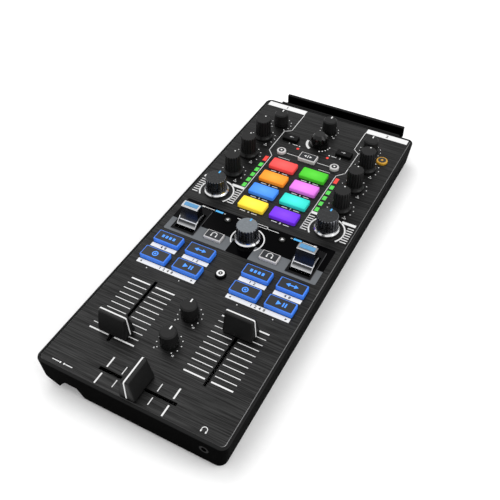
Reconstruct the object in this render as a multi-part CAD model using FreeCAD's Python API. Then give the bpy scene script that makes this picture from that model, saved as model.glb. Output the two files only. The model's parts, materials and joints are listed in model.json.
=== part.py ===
import FreeCAD, Part
import math
import os

V = FreeCAD.Vector

# Sizes are in millimetres. While the pieces are made, x is measured from the centre line, y from just
# behind the case's front face towards the back, and z from the floor up. Saving a piece moves it along
# Y, so that the part's origin is at the bottom centre of its bounding box.

# Panel and case
PANEL_TOP = 22.3
PANEL_THICK = 2.0
PANEL_UNDER = PANEL_TOP - PANEL_THICK
PANEL_CORNER = 3.1
PANEL_GAP = 0.1
PANEL_CHAMFER = 0.4
CASE_TOP_HALF = 65.0
CASE_LOW_HALF = 62.5
CASE_FRONT = -1.0
CASE_BACK = 302.0
RIM = 1.9
RIM_ROUND = ((0.9, 0.0), (0.3, 0.25), (0.0, 0.8))
PANEL_FRONT = CASE_FRONT + RIM
PANEL_BACK = CASE_BACK - RIM
PANEL_HALF = CASE_TOP_HALF - RIM
CASE_BOTTOM = 2.0
CASE_CORNER = 5.0
CASE_WALL = 2.5
CASE_EDGE = 1.0
FLOOR_TOP = CASE_BOTTOM + CASE_WALL
OVERSHOOT = 1.0
SIDES = {"left": -1, "right": 1}
SIGNS = (-1, 1)

# Finger notch and cut corner at the front left
NOTCH_TOP = PANEL_TOP - 12.0
NOTCH_TOP_LEFT = -45.1
NOTCH_TOP_RIGHT = -36.2
NOTCH_LOW_LEFT = -51.2
NOTCH_LOW_RIGHT = -31.4
NOTCH_BACK = 12.0
BEVEL_TOP = PANEL_TOP - 11.5
BEVEL_SLOPE = 0.52

# Phone rest behind the case
REST_HALF = 52.0
REST_LOW = PANEL_TOP - 9.0
REST_WALL = 2.5
REST_BACK_PLATE = 1.5
REST_SLOT = 10.0
REST_FRONT = CASE_BACK
REST_BACK = REST_FRONT + REST_BACK_PLATE + REST_SLOT + REST_WALL
REST_SCREW_X = 40.0
REST_SCREW_Z = PANEL_TOP - 4.8
ORIGIN_Y = (CASE_FRONT + REST_BACK) / 2

# Circuit board
BOARD_HALF = 52.5
BOARD_FRONT = 4.0
BOARD_BACK = 299.0
BOARD_LOW = 6.4
BOARD_TOP = 8.0
BOARD_NOTCH_X = -29.5
BOARD_NOTCH_Y = 20.0
BOARD_POSTS = [(side * 49.0, y) for side in (-1, 1) for y in (24.0, 164.0, 284.0)]
POST_R = 3.0

# Panel screws, in columns of the case
COLUMNS = [(side * 57.0, y) for side in (-1, 1) for y in (20.0, 86.0, 167.0, 290.0)]
COLUMN_R = 3.5
COLUMN_TOP = PANEL_TOP - 8.0
STUD_R = 2.8
SCREW_R = 1.5
SCREW_HEAD_R = 2.75
SCREW_HEAD = 2.0
SCREW_SEAT = PANEL_TOP - 10.5
SCREW_TIP = PANEL_TOP - 3.5
WELL_R = 3.1
POST_SCREW_TIP = 3.2

# Rubber feet
FEET = [(side * 48.0, y) for side in (-1, 1) for y in (30.0, 272.0)]
FOOT_R = 6.0
FOOT_RECESS = 1.0

# Rotary controls
POT_HALF = 5.5
POT_TOP = 15.0
POT_FLOOR = 9.5
SHAFT_R = 3.0
SHAFT_FIT = 0.05
SHAFT_GAP = 0.1
SHAFT_HOLE_R = 3.6
KNOB_GAP = 0.6
KNOB_CROWN = 3.0
TONE_KNOB = {
    "skirt": 7.4, "neck": 6.0, "top": 5.8, "height": 17.0, "edge": 0.5, "flutes": 18, "flute_r": 0.6}
FILTER_KNOB = {
    "skirt": 9.0, "neck": 7.9, "top": 7.5, "height": 13.8, "edge": 0.5, "flutes": 22, "flute_r": 0.6}
SMALL_KNOB = {
    "skirt": 5.9, "neck": 5.75, "top": 5.4, "height": 11.0, "edge": 0.9, "flutes": 0, "flute_r": 0}
BROWSE_KNOB = {
    "skirt": 7.2, "neck": 7.0, "top": 6.2, "height": 10.0, "edge": 2.4, "flutes": 12, "flute_r": 0.9}
SKIRT_EDGE = 1.2
SKIRT_RISE = 3.4
TONE_X = 44.0
TONE_ROWS = {"low": 202.0, "mid": 226.9, "high": 251.7}
FILTER_Y = 177.2
GAIN_X = 38.7
GAIN_Y = 273.5
CUE_VOLUME_Y = 68.9
CUE_MIX_Y = 45.6
MASTER_Y = 282.8
DEPTH_Y = 143.3
BROWSE_Y = 263.0
BROWSE_PRESS = 0.8

# Faders
LINE_X = 33.8
LINE_MIDDLE = 55.75
LINE_LEFT_AT = 39.0
LINE_RIGHT_AT = 72.5
CROSS_Y = 11.8
FADER_SLOT = 53.0
FADER_SLOT_WIDTH = 2.2
FADER_BODY_LENGTH = 60.0
FADER_BODY_WIDTH = 9.0
FADER_BODY_TOP = 16.0
FADER_SKIN = 1.0
CARRIAGE = 6.0
CARRIAGE_GAP = 0.15
BLADE_THICK = 1.6
BLADE_WIDE = 4.0
BLADE_TOP = PANEL_TOP + 9.0
CAP_LOW = PANEL_TOP + 1.2
CAP_TOP = PANEL_TOP + 16.0
CAP_WIDE = 20.5
CAP_DEEP = 11.0
CAP_TOP_WIDE = 19.2
CAP_TOP_DEEP = 5.4
CAP_CORNER = 1.2
CAP_EDGE = 0.6

# Push buttons
PRESS = 0.8
HOLE_GAP = 0.3
FLANGE = 1.0
FLANGE_THICK = 1.3
FLANGE_GAP = 0.1
STEM_R = 1.8
SWITCH_HALF = 3.0
SWITCH_BODY_TOP = 11.5
PLUNGER_R = 1.7
PLUNGER_TOP = 12.5
PRESS_GAP = 0.1
TOP_EDGE = 0.4
PAD = {"wide": 20.2, "deep": 10.6, "height": 2.6, "corner": 1.0}
PAD_X = 12.6
PAD_FRONT_ROW = 175.1
PAD_PITCH = 16.43
PAD_ROWS = 4
DECK_BUTTON = {"wide": 19.4, "deep": 9.6, "height": 3.2, "corner": 0.8}
DECK_COLUMNS = {"inner": 21.5, "outer": 46.6}
DECK_ROWS = {"front": 100.6, "back": 117.1}
LOAD_BUTTON = {"wide": 12.6, "deep": 6.6, "height": 2.4, "corner": 0.8}
LOAD_X = 22.8
LOAD_Y = 258.8
SPLIT_BUTTON = {"wide": 14.0, "deep": 8.6, "height": 2.6, "corner": 0.8}
SPLIT_Y = 241.5
CUE_BUTTON = {"wide": 13.0, "deep": 7.8, "height": 2.0, "corner": 0.6}
CUE_X = 21.4
CUE_Y = 134.9
RING_BUTTON = {"radius": 3.6, "height": 2.0}
RING_X = 22.3
RING_Y = 240.7
SHIFT_Y = 106.6
SELECT_BUTTON = {"radius": 2.6, "height": 0.8}
SELECT_X = 21.3
SELECT_Y = 153.7
AMBER_BUTTON = {"radius": 4.2, "height": 1.6}
AMBER_X = 51.5
AMBER_Y = 265.0

# Effects plate and paddles
PLATE_HALF = 58.1
PLATE_FRONT = 126.8
PLATE_BACK = 161.0
PLATE_LOW = PANEL_TOP - 3.5
PLATE_CORNER = 1.0
PLATE_GAP = 0.15
PLATE_FLANGE = 1.4
POCKET_HALF = 7.8
POCKET_FRONT = 131.0
POCKET_BACK = 151.0
POCKET_FLOOR = PANEL_TOP - 9.0
TUB_WALL = 2.0
TUB_FLOOR = 1.5
FRAME_HALF = 9.4
FRAME_FRONT = 128.9
FRAME_BACK = 156.3
FRAME_CORNER = 0.8
FRAME_HIGH = 0.4
FRAME_EDGE = 0.3
PADDLE_X = 44.3
PADDLE_HALF = 7.15
PADDLE_TOP_HALF = 6.5
PADDLE_FOOT = (133.7, PANEL_TOP - 2.8)
PADDLE_LIP = (134.6, PANEL_TOP + 0.1)
PADDLE_LEDGE = (138.4, PANEL_TOP + 2.1)
PADDLE_HOLLOW = (140.3, PANEL_TOP + 7.0)
PADDLE_BROW = (140.9, PANEL_TOP + 11.9)
PADDLE_TOP_FRONT = (141.4, PANEL_TOP + 12.5)
PADDLE_TOP_BACK = (146.4, PANEL_TOP + 12.7)
PADDLE_NAPE = (147.0, PANEL_TOP + 12.1)
PIVOT_Y = 143.0
PIVOT_Z = PANEL_TOP - 5.5
HUB_R = 3.0
PIN_R = 1.5
PIN_HALF = 9.4
PIN_FIT = 0.05
TAIL_HALF = 1.5
TAIL_LOW = 10.3
TAIL_SWING = 3.4
TAIL_SIDE = 2.4
PADDLE_SWITCH = {"half_x": 4.0, "half_y": 6.0, "top": 11.5, "slot_floor": 9.4}

# Meters and indicator lights
METER_X = 29.5
METER_WIDE = 2.9
GREEN_LONG = 5.2
GREEN_PITCH = 6.6
GREEN_FIRST = 193.2
GREEN_COUNT = 5
RED_LONG = 6.2
RED_Y = 227.8
LIGHT_PROUD = 0.05
LIGHT_BAR_LOW = PANEL_TOP - 4.0
LIGHT_BAR_SIDE = 0.6
LAMP_X = 12.6
LAMP_Y = 250.0
LAMP_R = 1.1
LAMP_FLANGE_R = 2.0

# Sockets
JACK_X = 51.0
JACK_Z = PANEL_TOP - 8.0
JACK_BORE_R = 1.8
JACK_BARREL_R = 3.0
JACK_DEEP = 14.0
JACK_HALF = 4.0
JACK_TOP = PANEL_TOP - 4.0
JACK_END_WALL = 1.0
USB_XS = (-32.0, -14.0)
USB_HALF = 4.5
USB_HIGH = 3.3
USB_SKIN = 0.3
USB_DEEP = 9.0
USB_MOUTH = 6.5
USB_TONGUE_HALF = 3.3
USB_TONGUE_HIGH = 0.8
PHONO_XS = (18.0, 34.0)
PHONO_Z = 8.0
PHONO_BARREL_R = 4.15
PHONO_OUT = 9.0
PHONO_BORE_R = 1.65
PHONO_BORE_DEEP = 12.0
PHONO_BODY_HALF = 5.5
PHONO_BODY_LOW = FLOOR_TOP
PHONO_BODY_TOP = 13.0
PHONO_BODY_DEEP = 9.0
PHONO_BOARD_GAP = 0.5

# Mono switch
SWITCH_X = -42.2
LEVER_HALF = 1.5
LEVER_LOW = 5.2
LEVER_HIGH = 7.6
LEVER_FRONT = 10.5
LEVER_BACK = 17.0
LEVER_TRAVEL = 3.0
LEVER_GAP = 0.3
LEVER_CASE_HALF = 6.5
LEVER_CASE_DEEP = 5.0
LEVER_CASE_TOP = 9.5


def box(x0, x1, y0, y1, z0, z1):
    return Part.makeBox(x1 - x0, y1 - y0, z1 - z0, V(x0, y0, z0))


def block(x, y, half_x, half_y, z0, z1):
    return box(x - half_x, x + half_x, y - half_y, y + half_y, z0, z1)


def rod(x, y, radius, z0, z1):
    return Part.makeCylinder(radius, z1 - z0, V(x, y, z0))


def rod_along_y(x, z, radius, y0, y1):
    return Part.makeCylinder(radius, y1 - y0, V(x, y0, z), V(0, 1, 0))


def rod_along_x(x0, x1, y, z, radius):
    return Part.makeCylinder(radius, x1 - x0, V(x0, y, z), V(1, 0, 0))


def rounded_outline(x0, x1, y0, y1, radius, z):
    # A rectangle with round corners, as one closed wire at height z.
    diagonal = radius * (1 - math.sqrt(0.5))
    corners = [(x1, y0, -1, 1), (x1, y1, -1, -1), (x0, y1, 1, -1), (x0, y0, 1, 1)]
    edges = []
    for index, (x, y, to_x, to_y) in enumerate(corners):
        along_y = V(x, y + to_y * radius, z)
        along_x = V(x + to_x * radius, y, z)
        middle = V(x + to_x * diagonal, y + to_y * diagonal, z)
        start, end = (along_x, along_y) if index % 2 == 0 else (along_y, along_x)
        if edges:
            edges.append(Part.LineSegment(last, start).toShape())
        else:
            first = start
        edges.append(Part.Arc(start, middle, end).toShape())
        last = end
    edges.append(Part.LineSegment(last, first).toShape())
    return Part.Wire(edges)


def rounded_block(x, y, half_x, half_y, radius, z0, z1):
    outline = rounded_outline(x - half_x, x + half_x, y - half_y, y + half_y, radius, z0)
    return Part.Face(outline).extrude(V(0, 0, z1 - z0))


def stacked(outlines):
    # A solid with straight sides from one outline to the next.
    return Part.makeLoft(outlines, True, True)


def without(shape, cutters):
    return shape.cut(Part.makeCompound(cutters))


def joined(shapes):
    return shapes[0].multiFuse(shapes[1:]).removeSplitter()


def save(name, solids):
    shape = Part.makeCompound(solids)
    shape.translate(V(0, -ORIGIN_Y, 0))
    shape.exportStep(os.path.join("parts", name + ".step"))


# Where each control stands

def knob_places():
    places = {}
    for side, sign in SIDES.items():
        for row, y in TONE_ROWS.items():
            places[f"tone_knob_{row}_{side}"] = (sign * TONE_X, y, TONE_KNOB)
        places[f"filter_knob_{side}"] = (sign * TONE_X, FILTER_Y, FILTER_KNOB)
        places[f"gain_knob_{side}"] = (sign * GAIN_X, GAIN_Y, SMALL_KNOB)
    places["cue_volume_knob"] = (0, CUE_VOLUME_Y, SMALL_KNOB)
    places["cue_mix_knob"] = (0, CUE_MIX_Y, SMALL_KNOB)
    places["master_knob"] = (0, MASTER_Y, SMALL_KNOB)
    places["effect_depth_knob"] = (0, DEPTH_Y, FILTER_KNOB)
    return places


def button_places():
    places = {}
    for side, sign in SIDES.items():
        for row in range(PAD_ROWS):
            places[f"pad_{side}_{row + 1}"] = (sign * PAD_X, PAD_FRONT_ROW + row * PAD_PITCH, PAD)
        for column, x in DECK_COLUMNS.items():
            for row, y in DECK_ROWS.items():
                places[f"deck_button_{side}_{row}_{column}"] = (sign * x, y, DECK_BUTTON)
        places[f"load_button_{side}"] = (sign * LOAD_X, LOAD_Y, LOAD_BUTTON)
        places[f"ring_button_{side}"] = (sign * RING_X, RING_Y, RING_BUTTON)
        places[f"cue_button_{side}"] = (sign * CUE_X, CUE_Y, CUE_BUTTON)
        places[f"select_button_{side}"] = (sign * SELECT_X, SELECT_Y, SELECT_BUTTON)
    places["split_button"] = (0, SPLIT_Y, SPLIT_BUTTON)
    places["shift_button"] = (0, SHIFT_Y, RING_BUTTON)
    places["amber_button"] = (AMBER_X, AMBER_Y, AMBER_BUTTON)
    return places


def on_plate(y):
    return PLATE_FRONT < y < PLATE_BACK


def prism(x, y, size, grow, z0, z1):
    # A button's plan shape, grown by a margin.
    if "radius" in size:
        return rod(x, y, size["radius"] + grow, z0, z1)
    half_x = size["wide"] / 2 + grow
    half_y = size["deep"] / 2 + grow
    return rounded_block(x, y, half_x, half_y, size["corner"] + grow, z0, z1)


def control_holes(for_plate):
    # Holes that the controls need in the panel, or in the effects plate.
    low = PLATE_LOW - OVERSHOOT
    high = PANEL_TOP + OVERSHOOT
    holes = []
    for x, y, size in knob_places().values():
        if on_plate(y) == for_plate:
            holes.append(rod(x, y, SHAFT_HOLE_R, low, high))
    for x, y, size in button_places().values():
        if on_plate(y) == for_plate:
            holes.append(prism(x, y, size, HOLE_GAP, low, high))
    return holes


# Case

def wedge(points, y0, y1):
    # A prism along Y over corners of x and z.
    corners = [V(x, y0, z) for x, z in points]
    return Part.Face(Part.makePolygon(corners + corners[:1])).extrude(V(0, y1 - y0, 0))


def notch_cutters(grow):
    # The finger notch in the front edge and the bevel of the front left corner.
    front = CASE_FRONT - OVERSHOOT
    back = NOTCH_BACK + grow
    low = CASE_BOTTOM - OVERSHOOT
    lean = (NOTCH_TOP_LEFT - NOTCH_LOW_LEFT) / (NOTCH_TOP - CASE_BOTTOM)
    side = grow * math.hypot(1, lean)
    notch = wedge([
        (NOTCH_LOW_LEFT - side, low), (NOTCH_LOW_RIGHT + side, low), (NOTCH_LOW_RIGHT + side, CASE_BOTTOM),
        (NOTCH_TOP_RIGHT + side, NOTCH_TOP + grow), (NOTCH_TOP_LEFT - side, NOTCH_TOP + grow),
        (NOTCH_LOW_LEFT - side, CASE_BOTTOM)], front, back)
    far = -CASE_TOP_HALF
    bevel_top = BEVEL_TOP + grow * math.hypot(1, BEVEL_SLOPE)
    tip = far + (bevel_top - low) / BEVEL_SLOPE
    start = far - OVERSHOOT
    bevel = wedge([(start, low), (tip, low), (start, bevel_top + BEVEL_SLOPE * OVERSHOOT)], front, back)
    return [notch, bevel]


def case_half_width(z):
    part = (z - CASE_BOTTOM) / (PANEL_TOP - CASE_BOTTOM)
    return CASE_LOW_HALF + part * (CASE_TOP_HALF - CASE_LOW_HALF)


def case_outline(z, inset):
    half = case_half_width(z) - inset
    radius = CASE_CORNER - inset
    return rounded_outline(-half, half, CASE_FRONT + inset, CASE_BACK - inset, radius, z)


def lever_slot():
    x0 = SWITCH_X - LEVER_HALF - LEVER_GAP
    x1 = SWITCH_X + LEVER_HALF + LEVER_TRAVEL + LEVER_GAP
    front = NOTCH_BACK - OVERSHOOT
    back = LEVER_BACK + LEVER_GAP
    return box(x0, x1, front, back, LEVER_LOW - LEVER_GAP, LEVER_HIGH + LEVER_GAP)


def bottom_case():
    outside = stacked([
        case_outline(CASE_BOTTOM, CASE_EDGE),
        case_outline(CASE_BOTTOM + CASE_EDGE, 0),
    ] + [case_outline(PANEL_TOP - below, inset) for below, inset in RIM_ROUND])
    outside = without(outside, notch_cutters(0))
    hollow = stacked([case_outline(FLOOR_TOP, CASE_WALL), case_outline(PANEL_UNDER, CASE_WALL)])
    hollow = without(hollow, notch_cutters(CASE_WALL))
    middle = (PANEL_FRONT + PANEL_BACK) / 2
    half_long = (PANEL_BACK - PANEL_FRONT) / 2
    seat_top = PANEL_TOP + OVERSHOOT
    seat = rounded_block(0, middle, PANEL_HALF, half_long, PANEL_CORNER, PANEL_UNDER, seat_top)
    columns = [rod(x, y, COLUMN_R, FLOOR_TOP, COLUMN_TOP) for x, y in COLUMNS]
    posts = [rod(x, y, POST_R, FLOOR_TOP, BOARD_LOW) for x, y in BOARD_POSTS]
    shell = joined([without(outside, [hollow, seat])] + columns + posts)
    cutters = [lever_slot()]
    for x, y in COLUMNS:
        cutters.append(rod(x, y, WELL_R, CASE_BOTTOM - OVERSHOOT, SCREW_SEAT))
        cutters.append(rod(x, y, SCREW_R, CASE_BOTTOM, COLUMN_TOP + OVERSHOOT))
    for x, y in BOARD_POSTS:
        cutters.append(rod(x, y, SCREW_R, POST_SCREW_TIP, BOARD_LOW + OVERSHOOT))
    for x, y in FEET:
        cutters.append(rod(x, y, FOOT_R, CASE_BOTTOM - OVERSHOOT, CASE_BOTTOM + FOOT_RECESS))
    wall_in = CASE_BACK - CASE_WALL - OVERSHOOT
    wall_out = CASE_BACK + OVERSHOOT
    for x in USB_XS:
        cutters.append(box(x - USB_HALF, x + USB_HALF, wall_in, wall_out, BOARD_TOP, BOARD_TOP + USB_HIGH))
    for x in PHONO_XS:
        cutters.append(rod_along_y(x, PHONO_Z, PHONO_BARREL_R, wall_in, wall_out))
    for sign in SIGNS:
        cutters.append(rod_along_y(sign * REST_SCREW_X, REST_SCREW_Z, SCREW_R, wall_in, wall_out))
    front_in = CASE_FRONT + CASE_WALL + OVERSHOOT
    cutters.append(rod_along_y(JACK_X, JACK_Z, JACK_BARREL_R, CASE_FRONT - OVERSHOOT, front_in))
    return without(shell, cutters)


def phone_rest():
    floor = REST_LOW + REST_WALL
    slot_front = REST_FRONT + REST_BACK_PLATE
    slot_back = slot_front + REST_SLOT
    channel = box(-REST_HALF, REST_HALF, REST_FRONT, REST_BACK, REST_LOW, PANEL_TOP)
    slot_half = REST_HALF + OVERSHOOT
    cutters = [box(-slot_half, slot_half, slot_front, slot_back, floor, PANEL_TOP + OVERSHOOT)]
    hole_front = REST_FRONT - OVERSHOOT
    for sign in SIGNS:
        x = sign * REST_SCREW_X
        cutters.append(rod_along_y(x, REST_SCREW_Z, SCREW_R, hole_front, slot_front + OVERSHOOT))
    return without(channel, cutters)


def rubber_feet():
    return [rod(x, y, FOOT_R, 0, CASE_BOTTOM + FOOT_RECESS) for x, y in FEET]


# Panel and effects plate

def fader_slot(x, y, along_y, width, length, z0, z1):
    half_x, half_y = (width / 2, length / 2) if along_y else (length / 2, width / 2)
    return block(x, y, half_x, half_y, z0, z1)


def fader_places():
    return {
        "line_fader_left": (-LINE_X, LINE_LEFT_AT, LINE_MIDDLE, True),
        "line_fader_right": (LINE_X, LINE_RIGHT_AT, LINE_MIDDLE, True),
        "crossfader": (0, CROSS_Y, CROSS_Y, False),
    }


def meter_windows(z0, z1):
    windows = []
    for sign in SIGNS:
        lengths = [(GREEN_FIRST + i * GREEN_PITCH, GREEN_LONG) for i in range(GREEN_COUNT)]
        lengths.append((RED_Y, RED_LONG))
        for y, length in lengths:
            windows.append(block(sign * METER_X, y, METER_WIDE / 2, length / 2, z0, z1))
    return windows


def top_panel():
    outlines = []
    for z, edge in ((PANEL_UNDER, 0), (PANEL_TOP - PANEL_CHAMFER, 0), (PANEL_TOP, PANEL_CHAMFER)):
        inset = PANEL_GAP + edge
        half = PANEL_HALF - inset
        outlines.append(rounded_outline(
            -half, half, PANEL_FRONT + inset, PANEL_BACK - inset, PANEL_CORNER - inset, z))
    studs = [rod(x, y, STUD_R, COLUMN_TOP, PANEL_UNDER) for x, y in COLUMNS]
    plate = joined([stacked(outlines)] + studs)
    low = PANEL_UNDER - OVERSHOOT
    high = PANEL_TOP + OVERSHOOT
    cutters = control_holes(for_plate=False)
    cutters.append(rod(0, BROWSE_Y, SHAFT_HOLE_R, low, high))
    for x, y, middle_y, along_y in fader_places().values():
        cutters.append(fader_slot(x, middle_y, along_y, FADER_SLOT_WIDTH, FADER_SLOT, low, high))
    cutters += meter_windows(low, high)
    for sign in SIGNS:
        cutters.append(rod(sign * LAMP_X, LAMP_Y, LAMP_R, low, high))
    plate_middle = (PLATE_FRONT + PLATE_BACK) / 2
    plate_half = (PLATE_BACK - PLATE_FRONT) / 2
    cutters.append(rounded_block(0, plate_middle, PLATE_HALF, plate_half, PLATE_CORNER, low, high))
    for x, y in COLUMNS:
        cutters.append(rod(x, y, SCREW_R, COLUMN_TOP - OVERSHOOT, SCREW_TIP))
    return without(plate, cutters)


def pocket_frame(x):
    # The raised border of a paddle's pocket.
    low = PANEL_UNDER
    edge_low = PANEL_TOP + FRAME_HIGH - FRAME_EDGE
    outlines = []
    for z, inset in ((low, 0), (edge_low, 0), (PANEL_TOP + FRAME_HIGH, FRAME_EDGE)):
        half = FRAME_HALF - inset
        outlines.append(rounded_outline(
            x - half, x + half, FRAME_FRONT + inset, FRAME_BACK - inset, FRAME_CORNER - inset, z))
    return stacked(outlines)


def effects_plate():
    middle = (PLATE_FRONT + PLATE_BACK) / 2
    half = (PLATE_BACK - PLATE_FRONT) / 2
    inset = PLATE_GAP
    top = rounded_block(0, middle, PLATE_HALF - inset, half - inset, PLATE_CORNER, PLATE_LOW, PANEL_TOP)
    flange = block(0, middle, PLATE_HALF + PLATE_FLANGE, half + PLATE_FLANGE, PLATE_LOW, PANEL_UNDER)
    shapes = [top, flange]
    cutters = control_holes(for_plate=True)
    pocket_y = (POCKET_FRONT + POCKET_BACK) / 2
    pocket_half_y = (POCKET_BACK - POCKET_FRONT) / 2
    tub_half_x = POCKET_HALF + TUB_WALL
    tub_half_y = pocket_half_y + TUB_WALL
    tub_low = POCKET_FLOOR - TUB_FLOOR
    tail_low = tub_low - OVERSHOOT
    pocket_top = PANEL_TOP + OVERSHOOT
    reach = PIN_HALF + OVERSHOOT
    for sign in SIGNS:
        x = sign * PADDLE_X
        shapes.append(block(x, pocket_y, tub_half_x, tub_half_y, tub_low, PLATE_LOW))
        shapes.append(pocket_frame(x))
        cutters.append(block(x, pocket_y, POCKET_HALF, pocket_half_y, POCKET_FLOOR, pocket_top))
        cutters.append(block(x, PIVOT_Y, TAIL_SIDE, TAIL_SWING, tail_low, POCKET_FLOOR))
        cutters.append(rod_along_x(x - reach, x + reach, PIVOT_Y, PIVOT_Z, PIN_R + PIN_FIT))
    return without(joined(shapes), cutters)


def paddle(x):
    # A lever with a hollow front face, a pivot hub with two pins, and a tail that works the switch.
    def at(point):
        return V(x - PADDLE_HALF, point[0], point[1])

    back_low = (PIVOT_Y + HUB_R, PIVOT_Z)
    front_low = (PIVOT_Y - HUB_R, PIVOT_Z)
    corners = [
        PADDLE_BROW, PADDLE_TOP_FRONT, PADDLE_TOP_BACK, PADDLE_NAPE, back_low, front_low,
        PADDLE_FOOT, PADDLE_LIP, PADDLE_LEDGE]
    edges = [Part.Arc(at(PADDLE_LEDGE), at(PADDLE_HOLLOW), at(PADDLE_BROW)).toShape()]
    for start, end in zip(corners, corners[1:]):
        edges.append(Part.LineSegment(at(start), at(end)).toShape())
    blade = Part.Face(Part.Wire(edges)).extrude(V(2 * PADDLE_HALF, 0, 0))
    waist = PADDLE_LEDGE[1]
    top = PADDLE_TOP_BACK[1]
    taper = wedge([
        (x - PADDLE_HALF, TAIL_LOW), (x + PADDLE_HALF, TAIL_LOW), (x + PADDLE_HALF, waist),
        (x + PADDLE_TOP_HALF, top), (x - PADDLE_TOP_HALF, top), (x - PADDLE_HALF, waist)],
        FRAME_FRONT, FRAME_BACK)
    hub = rod_along_x(x - PADDLE_HALF, x + PADDLE_HALF, PIVOT_Y, PIVOT_Z, HUB_R)
    pin = rod_along_x(x - PIN_HALF, x + PIN_HALF, PIVOT_Y, PIVOT_Z, PIN_R)
    tail = block(x, PIVOT_Y, TAIL_HALF, TAIL_HALF, TAIL_LOW, PIVOT_Z)
    return joined([blade.common(taper), hub, pin, tail])


# Rotary controls

def turned(points):
    # A solid of revolution about Z, from points of radius and height.
    corners = [V(radius, 0, z) for radius, z in points]
    outline = Part.makePolygon(corners + corners[:1])
    return Part.Face(outline).revolve(V(0, 0, 0), V(0, 0, 1), 360)


def knob_cap(x, y, style, bore_r, bore_top):
    low = PANEL_TOP + KNOB_GAP
    top = PANEL_TOP + style["height"]
    edge = style["edge"]
    neck_z = low + SKIRT_RISE
    mid_r = style["neck"] + (style["skirt"] - style["neck"]) / 3
    mid_z = low + (SKIRT_EDGE + SKIRT_RISE) / 2
    cap = turned([
        (0, low), (style["skirt"], low), (style["skirt"], low + SKIRT_EDGE), (mid_r, mid_z),
        (style["neck"], neck_z), (style["top"], top - edge), (style["top"] - edge, top), (0, top)])
    cutters = [Part.makeCylinder(bore_r, bore_top - low + OVERSHOOT, V(0, 0, low - OVERSHOOT))]
    for index in range(style["flutes"]):
        angle = 2 * math.pi * (index + 0.5) / style["flutes"]
        foot = V(math.cos(angle) * style["neck"], math.sin(angle) * style["neck"], neck_z)
        head = V(math.cos(angle) * style["top"], math.sin(angle) * style["top"], top + OVERSHOOT)
        along = head.sub(foot)
        cutters.append(Part.makeCylinder(style["flute_r"], along.Length, foot, along))
    cap = without(cap, cutters)
    cap.translate(V(x, y, 0))
    return cap


def knob(x, y, style):
    top = PANEL_TOP + style["height"] - KNOB_CROWN
    shaft = rod(x, y, SHAFT_R, POT_FLOOR + SHAFT_GAP, top)
    return [knob_cap(x, y, style, SHAFT_R, top), shaft]


def browse_stem():
    return rod(0, BROWSE_Y, SHAFT_R, POT_FLOOR + BROWSE_PRESS + SHAFT_GAP, browse_stem_top())


def browse_stem_top():
    return PANEL_TOP + BROWSE_KNOB["height"] - KNOB_CROWN


def browse_knob():
    cap_low = PANEL_TOP + KNOB_GAP + BROWSE_PRESS
    cap = knob_cap(0, BROWSE_Y, BROWSE_KNOB, SHAFT_R + SHAFT_FIT, browse_stem_top() + SHAFT_GAP)
    return cap.cut(rod(0, BROWSE_Y, BROWSE_KNOB["skirt"] + OVERSHOOT, PANEL_TOP, cap_low))


def pot_body(x, y):
    body = block(x, y, POT_HALF, POT_HALF, BOARD_TOP, POT_TOP)
    return body.cut(rod(x, y, SHAFT_R + SHAFT_FIT, POT_FLOOR, POT_TOP + OVERSHOOT))


def fader_body(x, y, along_y):
    body = fader_slot(x, y, along_y, FADER_BODY_WIDTH, FADER_BODY_LENGTH, BOARD_TOP, FADER_BODY_TOP)
    inner_wide = CARRIAGE + 2 * CARRIAGE_GAP
    inner_long = FADER_BODY_LENGTH - 2 * FADER_SKIN
    low = BOARD_TOP + FADER_SKIN
    high = FADER_BODY_TOP - FADER_SKIN
    hollow = fader_slot(x, y, along_y, inner_wide, inner_long, low, high)
    slot = fader_slot(x, y, along_y, FADER_SLOT_WIDTH, FADER_SLOT, low, FADER_BODY_TOP + OVERSHOOT)
    return without(body, [hollow, slot])


def potentiometers():
    bodies = [pot_body(x, y) for x, y, style in knob_places().values()]
    bodies.append(pot_body(0, BROWSE_Y))
    bodies += [fader_body(x, middle, along_y) for x, y, middle, along_y in fader_places().values()]
    return bodies


def fader(x, y, along_y):
    # A carriage with its blade, and the cap pushed on the blade.
    def outline(wide, deep, corner, z):
        half_x, half_y = (wide / 2, deep / 2) if along_y else (deep / 2, wide / 2)
        return rounded_outline(x - half_x, x + half_x, y - half_y, y + half_y, corner, z)

    low = BOARD_TOP + FADER_SKIN + CARRIAGE_GAP
    high = FADER_BODY_TOP - FADER_SKIN - CARRIAGE_GAP
    carriage = block(x, y, CARRIAGE / 2, CARRIAGE / 2, low, high)
    blade = fader_slot(x, y, along_y, BLADE_THICK, BLADE_WIDE, low, BLADE_TOP)
    cap = stacked([
        outline(CAP_WIDE, CAP_DEEP, CAP_CORNER, CAP_LOW),
        outline(CAP_TOP_WIDE, CAP_TOP_DEEP, CAP_CORNER, CAP_TOP - CAP_EDGE),
        outline(CAP_TOP_WIDE - 2 * CAP_EDGE, CAP_TOP_DEEP - 2 * CAP_EDGE, CAP_CORNER - CAP_EDGE, CAP_TOP),
    ])
    return [cap.cut(blade), joined([carriage, blade])]


# Buttons, switches and lights

def button(x, y, size):
    top = PANEL_TOP + size["height"]
    flange_top = (PLATE_LOW if on_plate(y) else PANEL_UNDER) - FLANGE_GAP
    flange_low = flange_top - FLANGE_THICK
    body = prism(x, y, size, 0, flange_low, top)
    rim = [edge for edge in body.Edges if abs(edge.BoundBox.ZMin - top) < TOP_EDGE / 2]
    body = body.makeChamfer(TOP_EDGE, rim)
    flange = prism(x, y, size, FLANGE, flange_low, flange_top)
    stem = rod(x, y, STEM_R, PLUNGER_TOP + PRESS + PRESS_GAP, flange_low)
    return joined([body, flange, stem])


def push_switch(x, y):
    body = block(x, y, SWITCH_HALF, SWITCH_HALF, BOARD_TOP, SWITCH_BODY_TOP)
    return body.fuse(rod(x, y, PLUNGER_R, SWITCH_BODY_TOP, PLUNGER_TOP))


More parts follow.
